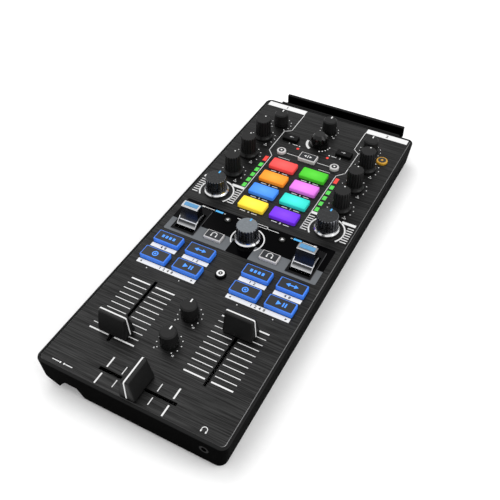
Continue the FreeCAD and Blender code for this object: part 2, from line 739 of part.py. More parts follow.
def paddle_switch(x):
    size = PADDLE_SWITCH
    body = block(x, PIVOT_Y, size["half_x"], size["half_y"], BOARD_TOP, size["top"])
    slot = block(x, PIVOT_Y, TAIL_SIDE, TAIL_SWING, size["slot_floor"], size["top"] + OVERSHOOT)
    return body.cut(slot)


def mono_switch_body():
    x = SWITCH_X + LEVER_TRAVEL / 2
    y = NOTCH_BACK + CASE_WALL + LEVER_CASE_DEEP / 2
    body = block(x, y, LEVER_CASE_HALF, LEVER_CASE_DEEP / 2, FLOOR_TOP, LEVER_CASE_TOP)
    return body.cut(lever_slot())


def switches():
    bodies = [push_switch(x, y) for x, y, size in button_places().values()]
    bodies += [paddle_switch(sign * PADDLE_X) for sign in SIGNS]
    bodies.append(mono_switch_body())
    return bodies


def mono_switch():
    x = SWITCH_X
    return box(x - LEVER_HALF, x + LEVER_HALF, LEVER_FRONT, LEVER_BACK, LEVER_LOW, LEVER_HIGH)


def lights():
    # Each meter is a clear bar under the panel with a raised window for each segment.
    windows = meter_windows(LIGHT_BAR_LOW, PANEL_TOP + LIGHT_PROUD)
    per_meter = len(windows) // 2
    low_y = GREEN_FIRST - GREEN_LONG / 2 - LIGHT_BAR_SIDE
    high_y = RED_Y + RED_LONG / 2 + LIGHT_BAR_SIDE
    half_x = METER_WIDE / 2 + LIGHT_BAR_SIDE
    pieces = []
    for index, sign in enumerate(SIGNS):
        x = sign * METER_X
        bar = box(x - half_x, x + half_x, low_y, high_y, LIGHT_BAR_LOW, PANEL_UNDER)
        pieces.append(joined([bar] + windows[index * per_meter:(index + 1) * per_meter]))
        lamp = rod(sign * LAMP_X, LAMP_Y, LAMP_R, LIGHT_BAR_LOW, PANEL_TOP + LIGHT_PROUD)
        collar = rod(sign * LAMP_X, LAMP_Y, LAMP_FLANGE_R, LIGHT_BAR_LOW, PANEL_UNDER)
        pieces.append(joined([lamp, collar]))
    return pieces


# Board, sockets and screws

def main_board():
    board = box(-BOARD_HALF, BOARD_HALF, BOARD_FRONT, BOARD_BACK, BOARD_LOW, BOARD_TOP)
    low = BOARD_LOW - OVERSHOOT
    high = BOARD_TOP + OVERSHOOT
    far_left = -BOARD_HALF - OVERSHOOT
    cutters = [box(far_left, BOARD_NOTCH_X, BOARD_FRONT - OVERSHOOT, BOARD_NOTCH_Y, low, high)]
    phono_half = PHONO_BODY_HALF + PHONO_BOARD_GAP
    phono_front = CASE_BACK - CASE_WALL - PHONO_BODY_DEEP - PHONO_BOARD_GAP
    cutters.append(box(
        PHONO_XS[0] - phono_half, PHONO_XS[-1] + phono_half, phono_front, BOARD_BACK + OVERSHOOT, low, high))
    cutters += [rod(x, y, SCREW_R, low, high) for x, y in BOARD_POSTS]
    return without(board, cutters)


def headphone_socket():
    inner = CASE_FRONT + CASE_WALL
    back = inner + JACK_DEEP
    body = box(JACK_X - JACK_HALF, JACK_X + JACK_HALF, inner, back, BOARD_TOP, JACK_TOP)
    barrel = rod_along_y(JACK_X, JACK_Z, JACK_BARREL_R, CASE_FRONT, inner)
    bore = rod_along_y(JACK_X, JACK_Z, JACK_BORE_R, CASE_FRONT - OVERSHOOT, back - JACK_END_WALL)
    return joined([body, barrel]).cut(bore)


def usb_socket(x):
    low = BOARD_TOP
    high = BOARD_TOP + USB_HIGH
    shell = box(x - USB_HALF, x + USB_HALF, CASE_BACK - USB_DEEP, CASE_BACK, low, high)
    mouth_half = USB_HALF - USB_SKIN
    mouth_front = CASE_BACK - USB_MOUTH
    mouth = box(
        x - mouth_half, x + mouth_half, mouth_front, CASE_BACK + OVERSHOOT, low + USB_SKIN, high - USB_SKIN)
    middle = (low + high) / 2
    tongue_half = USB_TONGUE_HIGH / 2
    tongue_back = CASE_BACK - USB_SKIN
    tongue = box(
        x - USB_TONGUE_HALF, x + USB_TONGUE_HALF, mouth_front, tongue_back,
        middle - tongue_half, middle + tongue_half)
    return joined([shell.cut(mouth), tongue])


def phono_socket(x):
    wall_in = CASE_BACK - CASE_WALL
    body = box(
        x - PHONO_BODY_HALF, x + PHONO_BODY_HALF, wall_in - PHONO_BODY_DEEP, wall_in,
        PHONO_BODY_LOW, PHONO_BODY_TOP)
    end = CASE_BACK + PHONO_OUT
    barrel = rod_along_y(x, PHONO_Z, PHONO_BARREL_R, wall_in, end)
    bore = rod_along_y(x, PHONO_Z, PHONO_BORE_R, end - PHONO_BORE_DEEP, end + OVERSHOOT)
    return joined([body, barrel]).cut(bore)


def sockets():
    pieces = [headphone_socket()]
    pieces += [usb_socket(x) for x in USB_XS]
    pieces += [phono_socket(x) for x in PHONO_XS]
    return pieces


def screws():
    pieces = []
    for x, y in COLUMNS:
        head = rod(x, y, SCREW_HEAD_R, SCREW_SEAT - SCREW_HEAD, SCREW_SEAT)
        pieces.append(joined([head, rod(x, y, SCREW_R, SCREW_SEAT, SCREW_TIP)]))
    for x, y in BOARD_POSTS:
        head = rod(x, y, SCREW_HEAD_R, BOARD_TOP, BOARD_TOP + SCREW_HEAD)
        pieces.append(joined([head, rod(x, y, SCREW_R, POST_SCREW_TIP, BOARD_TOP)]))
    wall_in = CASE_BACK - CASE_WALL
    for sign in SIGNS:
        x = sign * REST_SCREW_X
        head = rod_along_y(x, REST_SCREW_Z, SCREW_HEAD_R, wall_in - SCREW_HEAD, wall_in)
        shank = rod_along_y(x, REST_SCREW_Z, SCREW_R, wall_in, REST_FRONT + REST_BACK_PLATE)
        pieces.append(joined([head, shank]))
    return pieces


# Every piece, saved under its name

def main():
    os.makedirs("parts", exist_ok=True)
    save("bottom_case", [bottom_case()])
    save("top_panel", [top_panel()])
    save("effects_plate", [effects_plate()])
    save("phone_rest", [phone_rest()])
    save("rubber_feet", rubber_feet())
    save("main_board", [main_board()])
    save("potentiometers", potentiometers())
    save("switches", switches())
    save("lights", lights())
    save("sockets", sockets())
    save("screws", screws())
    save("mono_switch", [mono_switch()])
    save("browse_stem", [browse_stem()])
    save("browse_knob", [browse_knob()])
    for side, sign in SIDES.items():
        save(f"effect_paddle_{side}", [paddle(sign * PADDLE_X)])
    for name, (x, y, middle, along_y) in fader_places().items():
        save(name, fader(x, y, along_y))
    for name, (x, y, style) in knob_places().items():
        save(name, knob(x, y, style))
    for name, (x, y, size) in button_places().items():
        save(name, [button(x, y, size)])


main()
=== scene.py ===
import json
import math
import bmesh
import bpy
from mathutils import Matrix, Quaternion, Vector


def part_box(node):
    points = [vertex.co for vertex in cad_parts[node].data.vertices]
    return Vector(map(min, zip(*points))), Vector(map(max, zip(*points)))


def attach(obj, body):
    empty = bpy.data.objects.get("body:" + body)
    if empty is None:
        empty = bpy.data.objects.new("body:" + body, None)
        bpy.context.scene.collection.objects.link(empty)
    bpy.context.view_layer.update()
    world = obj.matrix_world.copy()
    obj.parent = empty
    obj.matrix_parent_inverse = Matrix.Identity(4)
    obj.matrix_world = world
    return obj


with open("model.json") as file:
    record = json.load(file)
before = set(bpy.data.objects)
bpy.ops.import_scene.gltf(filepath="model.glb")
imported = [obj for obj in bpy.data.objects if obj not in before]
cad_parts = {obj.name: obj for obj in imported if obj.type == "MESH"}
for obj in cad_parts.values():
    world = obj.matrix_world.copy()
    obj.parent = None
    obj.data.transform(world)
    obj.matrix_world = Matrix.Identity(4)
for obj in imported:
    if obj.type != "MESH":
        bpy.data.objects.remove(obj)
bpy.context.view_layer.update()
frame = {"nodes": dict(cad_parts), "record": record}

mm = 0.001
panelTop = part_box("top_panel")[1].z
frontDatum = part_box("bottom_case")[0].y + 1.0 * mm  # panel places below are measured back from here, in mm
inkHeight = 0.06 * mm  # thickness of a printed mark
print("frame loaded,", len(frame["nodes"]), "nodes")


def clearSelection():
    if bpy.context.object and bpy.context.object.mode != "OBJECT":
        bpy.ops.object.mode_set(mode="OBJECT")
    bpy.ops.object.select_all(action="DESELECT")


def linearColour(code):
    # sRGB hex to linear
    parts = [int(code[i:i + 2], 16) / 255 for i in (1, 3, 5)]
    return [p / 12.92 if p <= 0.04045 else ((p + 0.055) / 1.055) ** 2.4 for p in parts] + [1.0]


def linkUp(tree, node, links):
    # each socket gets a source, a hex colour or a plain value
    for socket, source in links.items():
        if isinstance(source, bpy.types.NodeSocket):
            tree.links.new(source, node.inputs[socket])
        else:
            node.inputs[socket].default_value = linearColour(source) if isinstance(source, str) else source


def addNode(tree, kind, links, **settings):
    # one node with its settings and links
    node = tree.nodes.new(kind)
    for key, value in settings.items():
        setattr(node, key, value)
    linkUp(tree, node, links)
    return node


def startMaterial(name, roughness, metallic=0.0, specular=0.5):
    # a shader with its plain values, and the coordinates that its patterns read
    material = bpy.data.materials.new(name)
    material.use_nodes = True
    tree = material.node_tree
    shader = tree.nodes["Principled BSDF"]
    linkUp(tree, shader, {"Roughness": roughness, "Metallic": metallic, "Specular IOR Level": specular})
    coords = addNode(tree, "ShaderNodeTexCoord", {}).outputs["Object"]
    return material, tree, shader, coords


def grainOn(tree, shader, coords, dark, light, grain, bump, roughLow, roughHigh):
    # moulded grain: small colour and gloss changes with a shallow bump, grain in mm
    noise = addNode(tree, "ShaderNodeTexNoise", {"Vector": coords, "Scale": 1 / (grain * mm), "Detail": 3.0})
    tone = addNode(tree, "ShaderNodeMix", {0: noise.outputs["Fac"], 6: dark, 7: light}, data_type="RGBA")
    rough = addNode(tree, "ShaderNodeMapRange", {
        "Value": noise.outputs["Fac"], "From Min": 0.3, "From Max": 0.7, "To Min": roughLow, "To Max": roughHigh})
    relief = addNode(tree, "ShaderNodeBump", {
        "Height": noise.outputs["Fac"], "Strength": bump, "Distance": 0.05 * mm})
    linkUp(tree, shader, {
        "Base Color": tone.outputs[2], "Roughness": rough.outputs[0], "Normal": relief.outputs[0]})
    return tone


def mouldedFinish(name, dark, light, roughLow, roughHigh, grain=0.35, bump=0.25, specular=0.5):
    # one even colour with a moulded or printed grain
    material, tree, shader, coords = startMaterial(name, roughLow, specular=specular)
    grainOn(tree, shader, coords, dark, light, grain, bump, roughLow, roughHigh)
    return material


# Finishes of the case and panel

def makeCaseFinish():
    # spark-eroded black ABS: dull and nearly black, with the rim round the panel painted a little paler as a
    # painted highlight
    look = {"dark": "#010101", "light": "#030303", "grain": 0.4, "rim": "#222222", "rimFrom": 0.8, "rimFull": 0.25}
    material, tree, shader, coords = startMaterial("mouldedAbsBlack", 0.5, specular=0.005)
    tone = grainOn(tree, shader, coords, look["dark"], look["light"], look["grain"], 0.2, 0.55, 0.7)
    height = addNode(tree, "ShaderNodeSeparateXYZ", {"Vector": coords}).outputs["Z"]
    # painted highlight: a band just under the panel's top is painted paler than the rest of the case
    rim = addNode(tree, "ShaderNodeMapRange", {
        "Value": height, "From Min": panelTop - look["rimFrom"] * mm, "From Max": panelTop - look["rimFull"] * mm})
    mixed = addNode(tree, "ShaderNodeMix", {
        0: rim.outputs[0], 6: tone.outputs[2], 7: look["rim"]}, data_type="RGBA")
    linkUp(tree, shader, {"Base Color": mixed.outputs[2]})
    return material


def makePanelFinish():
    # black anodised aluminium, hairline brushed across the panel: fine light and dark streaks along X
    look = {"streakLong": 38.0, "streakWide": 0.75, "dark": "#000000", "light": "#2c2c2c",
            "edge": "#b0b0b0", "edgeAcross": "#484848"}
    material, tree, shader, coords = startMaterial("brushedAnodisedAluminium", 0.42, metallic=0.75)
    # hairlines of 0.1 mm are drawn 0.75 mm wide so that they show in the render
    stretched = addNode(tree, "ShaderNodeMapping", {"Vector": coords, "Scale": (
        1 / (look["streakLong"] * mm), 1 / (look["streakWide"] * mm), 1.0)})
    streak = addNode(tree, "ShaderNodeTexNoise", {
        "Vector": stretched.outputs[0], "Scale": 1.0, "Detail": 5.0, "Roughness": 0.7})
    spread = addNode(tree, "ShaderNodeMapRange", {
        "Value": streak.outputs["Fac"], "From Min": 0.4, "From Max": 0.62})
    tone = addNode(tree, "ShaderNodeMix", {
        0: spread.outputs[0], 6: look["dark"], 7: look["light"]}, data_type="RGBA")
    # painted highlight: the bevel of the cut edge is painted pale, brightest where it faces the sides and dimmer
    # across the front and back
    normal = addNode(tree, "ShaderNodeSeparateXYZ", {
        "Vector": addNode(tree, "ShaderNodeNewGeometry", {}).outputs["True Normal"]})
    bevel = addNode(tree, "ShaderNodeMath", {0: normal.outputs["Z"], 1: 0.65, 2: 0.3}, operation="COMPARE")
    sideways = addNode(tree, "ShaderNodeMath", {0: normal.outputs["X"]}, operation="ABSOLUTE")
    paintedEdgeHighlight = addNode(tree, "ShaderNodeMix", {
        0: sideways.outputs[0], 6: look["edgeAcross"], 7: look["edge"]}, data_type="RGBA")
    paintedBevelHighlight = addNode(tree, "ShaderNodeMix", {
        0: bevel.outputs[0], 6: tone.outputs[2], 7: paintedEdgeHighlight.outputs[2]}, data_type="RGBA")
    rough = addNode(tree, "ShaderNodeMapRange", {"Value": streak.outputs["Fac"], "To Min": 0.36, "To Max": 0.5})
    relief = addNode(tree, "ShaderNodeBump", {
        "Height": streak.outputs["Fac"], "Strength": 0.12, "Distance": 0.03 * mm})
    linkUp(tree, shader, {
        "Base Color": paintedBevelHighlight.outputs[2], "Roughness": rough.outputs[0], "Normal": relief.outputs[0]})
    return material


def makePlateFinish():
    # polished black acrylic: deep black, with a grey metallised band at the front and satin pocket borders
    look = {"black": "#030304", "bandDark": "#63666a", "band": "#6d7073", "border": "#161617", "edge": "#4a4a4c",
            "bandBack": 139.6, "lobeHalf": 8.4, "fleck": 0.5}
    material, tree, shader, coords = startMaterial("polishedAcrylic", 0.12, specular=0.02)
    split = addNode(tree, "ShaderNodeSeparateXYZ", {"Vector": coords})
    wide = addNode(tree, "ShaderNodeMath", {0: split.outputs["X"]}, operation="ABSOLUTE").outputs[0]
    front = addNode(tree, "ShaderNodeMath", {0: split.outputs["Y"], 1: frontDatum + look["bandBack"] * mm},
                    operation="LESS_THAN").outputs[0]
    aside = addNode(tree, "ShaderNodeMath", {0: wide, 1: look["lobeHalf"] * mm},
                    operation="GREATER_THAN").outputs[0]
    high = addNode(tree, "ShaderNodeMath", {0: split.outputs["Z"], 1: panelTop - 0.05 * mm},
                   operation="GREATER_THAN").outputs[0]
    raised = addNode(tree, "ShaderNodeMath", {0: split.outputs["Z"], 1: panelTop + 0.03 * mm},
                     operation="GREATER_THAN").outputs[0]
    band = addNode(tree, "ShaderNodeMath", {0: front, 1: aside}, operation="MULTIPLY").outputs[0]
    shown = addNode(tree, "ShaderNodeMath", {0: band, 1: high}, operation="MULTIPLY").outputs[0]
    speck = addNode(tree, "ShaderNodeTexNoise", {
        "Vector": coords, "Scale": 1 / (look["fleck"] * mm), "Detail": 2.0})
    satin = addNode(tree, "ShaderNodeMix", {
        0: speck.outputs["Fac"], 6: look["bandDark"], 7: look["band"]}, data_type="RGBA")
    banded = addNode(tree, "ShaderNodeMix", {
        0: shown, 6: look["black"], 7: satin.outputs[2]}, data_type="RGBA")
    bordered = addNode(tree, "ShaderNodeMix", {
        0: raised, 6: banded.outputs[2], 7: look["border"]}, data_type="RGBA")
    # painted highlight: the slanted faces of the raised pocket borders are painted pale grey
    facing = addNode(tree, "ShaderNodeSeparateXYZ", {
        "Vector": addNode(tree, "ShaderNodeNewGeometry", {}).outputs["True Normal"]}).outputs["Z"]
    slanted = addNode(tree, "ShaderNodeMath", {0: facing, 1: 0.95}, operation="LESS_THAN").outputs[0]
    edge = addNode(tree, "ShaderNodeMath", {0: slanted, 1: raised}, operation="MULTIPLY").outputs[0]
    paintedBevelHighlight = addNode(tree, "ShaderNodeMix", {
        0: edge, 6: bordered.outputs[2], 7: look["edge"]}, data_type="RGBA")
    dull = addNode(tree, "ShaderNodeMath", {0: shown, 1: raised}, operation="MAXIMUM").outputs[0]
    rough = addNode(tree, "ShaderNodeMapRange", {"Value": dull, "To Min": 0.12, "To Max": 0.38})
    linkUp(tree, shader, {"Base Color": paintedBevelHighlight.outputs[2], "Roughness": rough.outputs[0]})
    return material


# Finishes of the controls

def makeSkirtedKnobFinish():
    # soft-touch black rubber grip on a polished flared skirt, its flat top painted paler as painted light falling
    # from above
    look = {"dark": "#111111", "light": "#181818", "grain": 0.3, "skirtHigh": 3.2, "topFrom": 8.0,
            "top": "#1d1d1d"}
    material, tree, shader, coords = startMaterial("softTouchRubber", 0.5, specular=0.14)
    tone = grainOn(tree, shader, coords, look["dark"], look["light"], look["grain"], 0.2, 0.45, 0.6)
    height = addNode(tree, "ShaderNodeSeparateXYZ", {"Vector": coords}).outputs["Z"]
    facing = addNode(tree, "ShaderNodeSeparateXYZ", {
        "Vector": addNode(tree, "ShaderNodeNewGeometry", {}).outputs["True Normal"]}).outputs["Z"]
    skirt = addNode(tree, "ShaderNodeMath", {0: height, 1: panelTop + look["skirtHigh"] * mm},
                    operation="LESS_THAN").outputs[0]
    high = addNode(tree, "ShaderNodeMath", {0: height, 1: panelTop + look["topFrom"] * mm},
                   operation="GREATER_THAN").outputs[0]
    flat = addNode(tree, "ShaderNodeMath", {0: facing, 1: 0.6}, operation="GREATER_THAN").outputs[0]
    top = addNode(tree, "ShaderNodeMath", {0: high, 1: flat}, operation="MULTIPLY").outputs[0]
    # painted light: the flat top is painted paler than the sides of the same rubber
    paintedTopLight = addNode(tree, "ShaderNodeMix", {0: top, 6: tone.outputs[2], 7: look["top"]}, data_type="RGBA")
    rough = addNode(tree, "ShaderNodeMapRange", {"Value": skirt, "To Min": 0.5, "To Max": 0.22})
    linkUp(tree, shader, {"Base Color": paintedTopLight.outputs[2], "Roughness": rough.outputs[0]})
    return material


def makeChromeKnobFinish(name, dark, light):
    # chrome flutes painted dark as painted shade from the dark room they mirror, the skirt's chrome painted bright
    # as a painted reflection, satin painted top
    look = {"skirt": "#dededf", "grip": "#66676b", "skirtHigh": 3.6, "topHigh": 13.7, "haze": 2.0}
    material, tree, shader, coords = startMaterial(name, 0.16, metallic=1.0, specular=0.12)
    height = addNode(tree, "ShaderNodeSeparateXYZ", {"Vector": coords}).outputs["Z"]
    grip = addNode(tree, "ShaderNodeMath", {0: height, 1: panelTop + look["skirtHigh"] * mm},
                   operation="GREATER_THAN").outputs[0]
    top = addNode(tree, "ShaderNodeMath", {0: height, 1: panelTop + look["topHigh"] * mm},
                  operation="GREATER_THAN").outputs[0]
    haze = addNode(tree, "ShaderNodeTexNoise", {"Vector": coords, "Scale": 1 / (look["haze"] * mm), "Detail": 2.0})
    # painted reflection: the skirt's chrome is painted bright and the grip's chrome painted dark
    paintedChromeReflection = addNode(tree, "ShaderNodeMix", {0: grip, 6: look["skirt"], 7: look["grip"]}, data_type="RGBA")
    painted = addNode(tree, "ShaderNodeMix", {0: haze.outputs["Fac"], 6: dark, 7: light}, data_type="RGBA")
    tone = addNode(tree, "ShaderNodeMix", {0: top, 6: paintedChromeReflection.outputs[2], 7: painted.outputs[2]}, data_type="RGBA")
    bare = addNode(tree, "ShaderNodeMath", {0: 1.0, 1: top}, operation="SUBTRACT").outputs[0]
    gloss = addNode(tree, "ShaderNodeMapRange", {"Value": haze.outputs["Fac"], "To Min": 0.1, "To Max": 0.2})
    rough = addNode(tree, "ShaderNodeMath", {0: grip, 1: 0.12, 2: gloss.outputs[0]}, operation="MULTIPLY_ADD")
    linkUp(tree, shader, {"Base Color": tone.outputs[2], "Metallic": bare, "Roughness": rough.outputs[0]})
    return material


def makePaddleFinish():
    # chrome-plated ABS lever: a painted reflection on the shelf, dark at its top and bright at its foot, a painted
    # highlight along the ledge, smoked hollow front, black flanks
    look = {"shelfHigh": "#3c3d3f", "shelfLow": "#e4e5e7", "ledge": "#d9dadc", "smoke": "#14161c",
            "flank": "#0a0a0b", "crown": "#8b8d90", "haze": 1.5}
    level = {"shelfTop": 1.2, "shelfFoot": -0.5, "ledge": 1.9, "hollow": 2.4, "brow": 0.9, "crown": 0.35}  # mm
    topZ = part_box("effect_paddle_left")[1].z
    material, tree, shader, coords = startMaterial("chromePlatedAbs", 0.18, metallic=1.0)
    height = addNode(tree, "ShaderNodeSeparateXYZ", {"Vector": coords}).outputs["Z"]
    normal = addNode(tree, "ShaderNodeSeparateXYZ", {
        "Vector": addNode(tree, "ShaderNodeNewGeometry", {}).outputs["True Normal"]})
    # painted reflection: the shelf's chrome grades from dark at its top to bright at its foot
    fall = addNode(tree, "ShaderNodeMapRange", {
        "Value": height, "From Min": panelTop + level["shelfTop"] * mm,
        "From Max": panelTop + level["shelfFoot"] * mm}).outputs[0]
    paintedShelfReflection = addNode(tree, "ShaderNodeMix", {
        0: fall, 6: look["shelfHigh"], 7: look["shelfLow"]}, data_type="RGBA")
    # painted highlight: a bright line painted along the ledge
    brink = addNode(tree, "ShaderNodeMath", {0: height, 1: panelTop + level["ledge"] * mm},
                    operation="GREATER_THAN").outputs[0]
    paintedLedgeHighlight = addNode(tree, "ShaderNodeMix", {
        0: brink, 6: paintedShelfReflection.outputs[2], 7: look["ledge"]}, data_type="RGBA")
    above = addNode(tree, "ShaderNodeMath", {0: height, 1: panelTop + level["hollow"] * mm},
                    operation="GREATER_THAN").outputs[0]
    below = addNode(tree, "ShaderNodeMath", {0: height, 1: topZ - level["brow"] * mm},
                    operation="LESS_THAN").outputs[0]
    hollow = addNode(tree, "ShaderNodeMath", {0: above, 1: below}, operation="MULTIPLY").outputs[0]
    sideways = addNode(tree, "ShaderNodeMath", {0: normal.outputs["X"]}, operation="ABSOLUTE").outputs[0]
    flank = addNode(tree, "ShaderNodeMath", {0: sideways, 1: 0.8}, operation="GREATER_THAN").outputs[0]
    smoked = addNode(tree, "ShaderNodeMix", {
        0: hollow, 6: paintedLedgeHighlight.outputs[2], 7: look["smoke"]}, data_type="RGBA")
    flanked = addNode(tree, "ShaderNodeMix", {
        0: flank, 6: smoked.outputs[2], 7: look["flank"]}, data_type="RGBA")
    plain = addNode(tree, "ShaderNodeMath", {0: hollow, 1: flank}, operation="MAXIMUM").outputs[0]
    metal = addNode(tree, "ShaderNodeMath", {0: 1.0, 1: plain}, operation="SUBTRACT").outputs[0]
    crown = addNode(tree, "ShaderNodeMath", {0: height, 1: topZ - level["crown"] * mm},
                    operation="GREATER_THAN").outputs[0]
    crowned = addNode(tree, "ShaderNodeMix", {
        0: crown, 6: flanked.outputs[2], 7: look["crown"]}, data_type="RGBA")
    haze = addNode(tree, "ShaderNodeTexNoise", {"Vector": coords, "Scale": 1 / (look["haze"] * mm), "Detail": 2.0})
    rough = addNode(tree, "ShaderNodeMapRange", {"Value": haze.outputs["Fac"], "To Min": 0.12, "To Max": 0.26})
    linkUp(tree, shader, {"Base Color": crowned.outputs[2], "Metallic": metal, "Roughness": rough.outputs[0]})
    return material


def makeLitFinish(name, colour, deep, glow, grain=1.2):
    # translucent moulding lit from inside: even colour, a little deeper in patches, grain in mm
    material, tree, shader, coords = startMaterial(name, 0.4, specular=0.4)
    cloud = addNode(tree, "ShaderNodeTexNoise", {"Vector": coords, "Scale": 1 / (grain * mm), "Detail": 2.0})
    tone = addNode(tree, "ShaderNodeMix", {0: cloud.outputs["Fac"], 6: deep, 7: colour}, data_type="RGBA")
    linkUp(tree, shader, {
        "Base Color": tone.outputs[2], "Emission Color": tone.outputs[2], "Emission Strength": glow})
    return material


def makePadFinish(node, colour, deep):
    # silicone over a lamp: palest over the lamp, fuller in colour towards the edges
    look = {"glow": 0.3, "hot": 0.02}
    low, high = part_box(node)
    middle, half = (low + high) / 2, (high - low) / 2
    material, tree, shader, coords = startMaterial("litSilicone_" + node, 0.45, specular=0.08)
    spread = addNode(tree, "ShaderNodeMapping", {
        "Vector": coords, "Location": (-middle.x / half.x, -middle.y / half.y, 0),
        "Scale": (1 / half.x, 1 / half.y, 0)})  # one pad's half width is one unit
    away = addNode(tree, "ShaderNodeVectorMath", {0: spread.outputs[0]}, operation="LENGTH").outputs["Value"]
    over = addNode(tree, "ShaderNodeMapRange", {"Value": away, "From Min": 0.1, "From Max": 1.5})
    pale = [c + (1 - c) * look["hot"] for c in linearColour(colour)]
    tone = addNode(tree, "ShaderNodeMix", {0: over.outputs[0], 6: pale, 7: deep}, data_type="RGBA")
    linkUp(tree, shader, {
        "Base Color": tone.outputs[2], "Emission Color": tone.outputs[2], "Emission Strength": look["glow"]})
    return material


def makeMeterFinish():
    # clear lenses over small lamps: bright middle and dark ends, red at the back of each meter, green below
    look = {"pitch": 6.6, "first": 193.2, "lit": 0.33, "meterFrom": 20.0, "redFrom": 223.0, "cloud": 0.9,
            "green": "#5ccc54", "greenDeep": "#38b036", "red": "#da3a32", "unlit": "#101210", "glow": 0.35}
    material, tree, shader, coords = startMaterial("clearPolycarbonate", 0.3, specular=0.3)
    split = addNode(tree, "ShaderNodeSeparateXYZ", {"Vector": coords})
    red = addNode(tree, "ShaderNodeMath", {0: split.outputs["Y"], 1: frontDatum + look["redFrom"] * mm},
                  operation="GREATER_THAN").outputs[0]
    cloud = addNode(tree, "ShaderNodeTexNoise", {
        "Vector": coords, "Scale": 1 / (look["cloud"] * mm), "Detail": 1.0})
    green = addNode(tree, "ShaderNodeMix", {0: cloud.outputs["Fac"], 6: look["greenDeep"], 7: look["green"]},
        data_type="RGBA")
    tone = addNode(tree, "ShaderNodeMix", {0: red, 6: green.outputs[2], 7: look["red"]}, data_type="RGBA")
    # segments repeat every 6.6 mm, and a third of that either side of the middle is lit
    step = addNode(tree, "ShaderNodeMapRange", {
        "Value": split.outputs["Y"], "From Min": frontDatum + (look["first"] - look["pitch"] / 2) * mm,
        "From Max": frontDatum + (look["first"] + look["pitch"] / 2) * mm}, clamp=False).outputs[0]
    part = addNode(tree, "ShaderNodeMath", {0: step}, operation="FRACT").outputs[0]
    lit = addNode(tree, "ShaderNodeMath", {0: part, 1: 0.5, 2: look["lit"]}, operation="COMPARE").outputs[0]
    wide = addNode(tree, "ShaderNodeMath", {0: split.outputs["X"]}, operation="ABSOLUTE").outputs[0]
    lamp = addNode(tree, "ShaderNodeMath", {0: wide, 1: look["meterFrom"] * mm}, operation="LESS_THAN").outputs[0]
    whole = addNode(tree, "ShaderNodeMath", {0: red, 1: lamp}, operation="MAXIMUM").outputs[0]
    shown = addNode(tree, "ShaderNodeMath", {0: lit, 1: whole}, operation="MAXIMUM").outputs[0]
    lens = addNode(tree, "ShaderNodeMix", {0: shown, 6: look["unlit"], 7: tone.outputs[2]}, data_type="RGBA")
    linkUp(tree, shader, {
        "Base Color": lens.outputs[2], "Emission Color": lens.outputs[2], "Emission Strength": look["glow"]})
    return material


def makeSocketFinish():
    # black plastic bodies, and dull silvery nickel where the shells come through the rear wall
    look = {"body": "#080808", "shell": "#8f8f8c", "shellFrom": 9.2, "haze": 0.8}
    material, tree, shader, coords = startMaterial("nickelPlatedSteel", 0.4, specular=0.04)
    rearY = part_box("bottom_case")[1].y
    far = addNode(tree, "ShaderNodeSeparateXYZ", {"Vector": coords}).outputs["Y"]
    rear = addNode(tree, "ShaderNodeMath", {0: far, 1: rearY - look["shellFrom"] * mm},
                   operation="GREATER_THAN").outputs[0]
    haze = addNode(tree, "ShaderNodeTexNoise", {"Vector": coords, "Scale": 1 / (look["haze"] * mm), "Detail": 2.0})
    tone = addNode(tree, "ShaderNodeMix", {0: rear, 6: look["body"], 7: look["shell"]}, data_type="RGBA")
    rough = addNode(tree, "ShaderNodeMapRange", {"Value": haze.outputs["Fac"], "To Min": 0.25, "To Max": 0.4})
    linkUp(tree, shader, {"Base Color": tone.outputs[2], "Metallic": rear, "Roughness": rough.outputs[0]})
    return material


def makeSteelFinish(name, dark, light, haze=0.4):
    # turned, pressed or plated metal: fine haze and a soft gloss, haze in mm
    material, tree, shader, coords = startMaterial(name, 0.35, metallic=1.0)
    bloom = addNode(tree, "ShaderNodeTexNoise", {"Vector": coords, "Scale": 1 / (haze * mm), "Detail": 2.0})
    tone = addNode(tree, "ShaderNodeMix", {0: bloom.outputs["Fac"], 6: dark, 7: light}, data_type="RGBA")
    rough = addNode(tree, "ShaderNodeMapRange", {"Value": bloom.outputs["Fac"], "To Min": 0.25, "To Max": 0.45})
    linkUp(tree, shader, {"Base Color": tone.outputs[2], "Roughness": rough.outputs[0]})
    return material


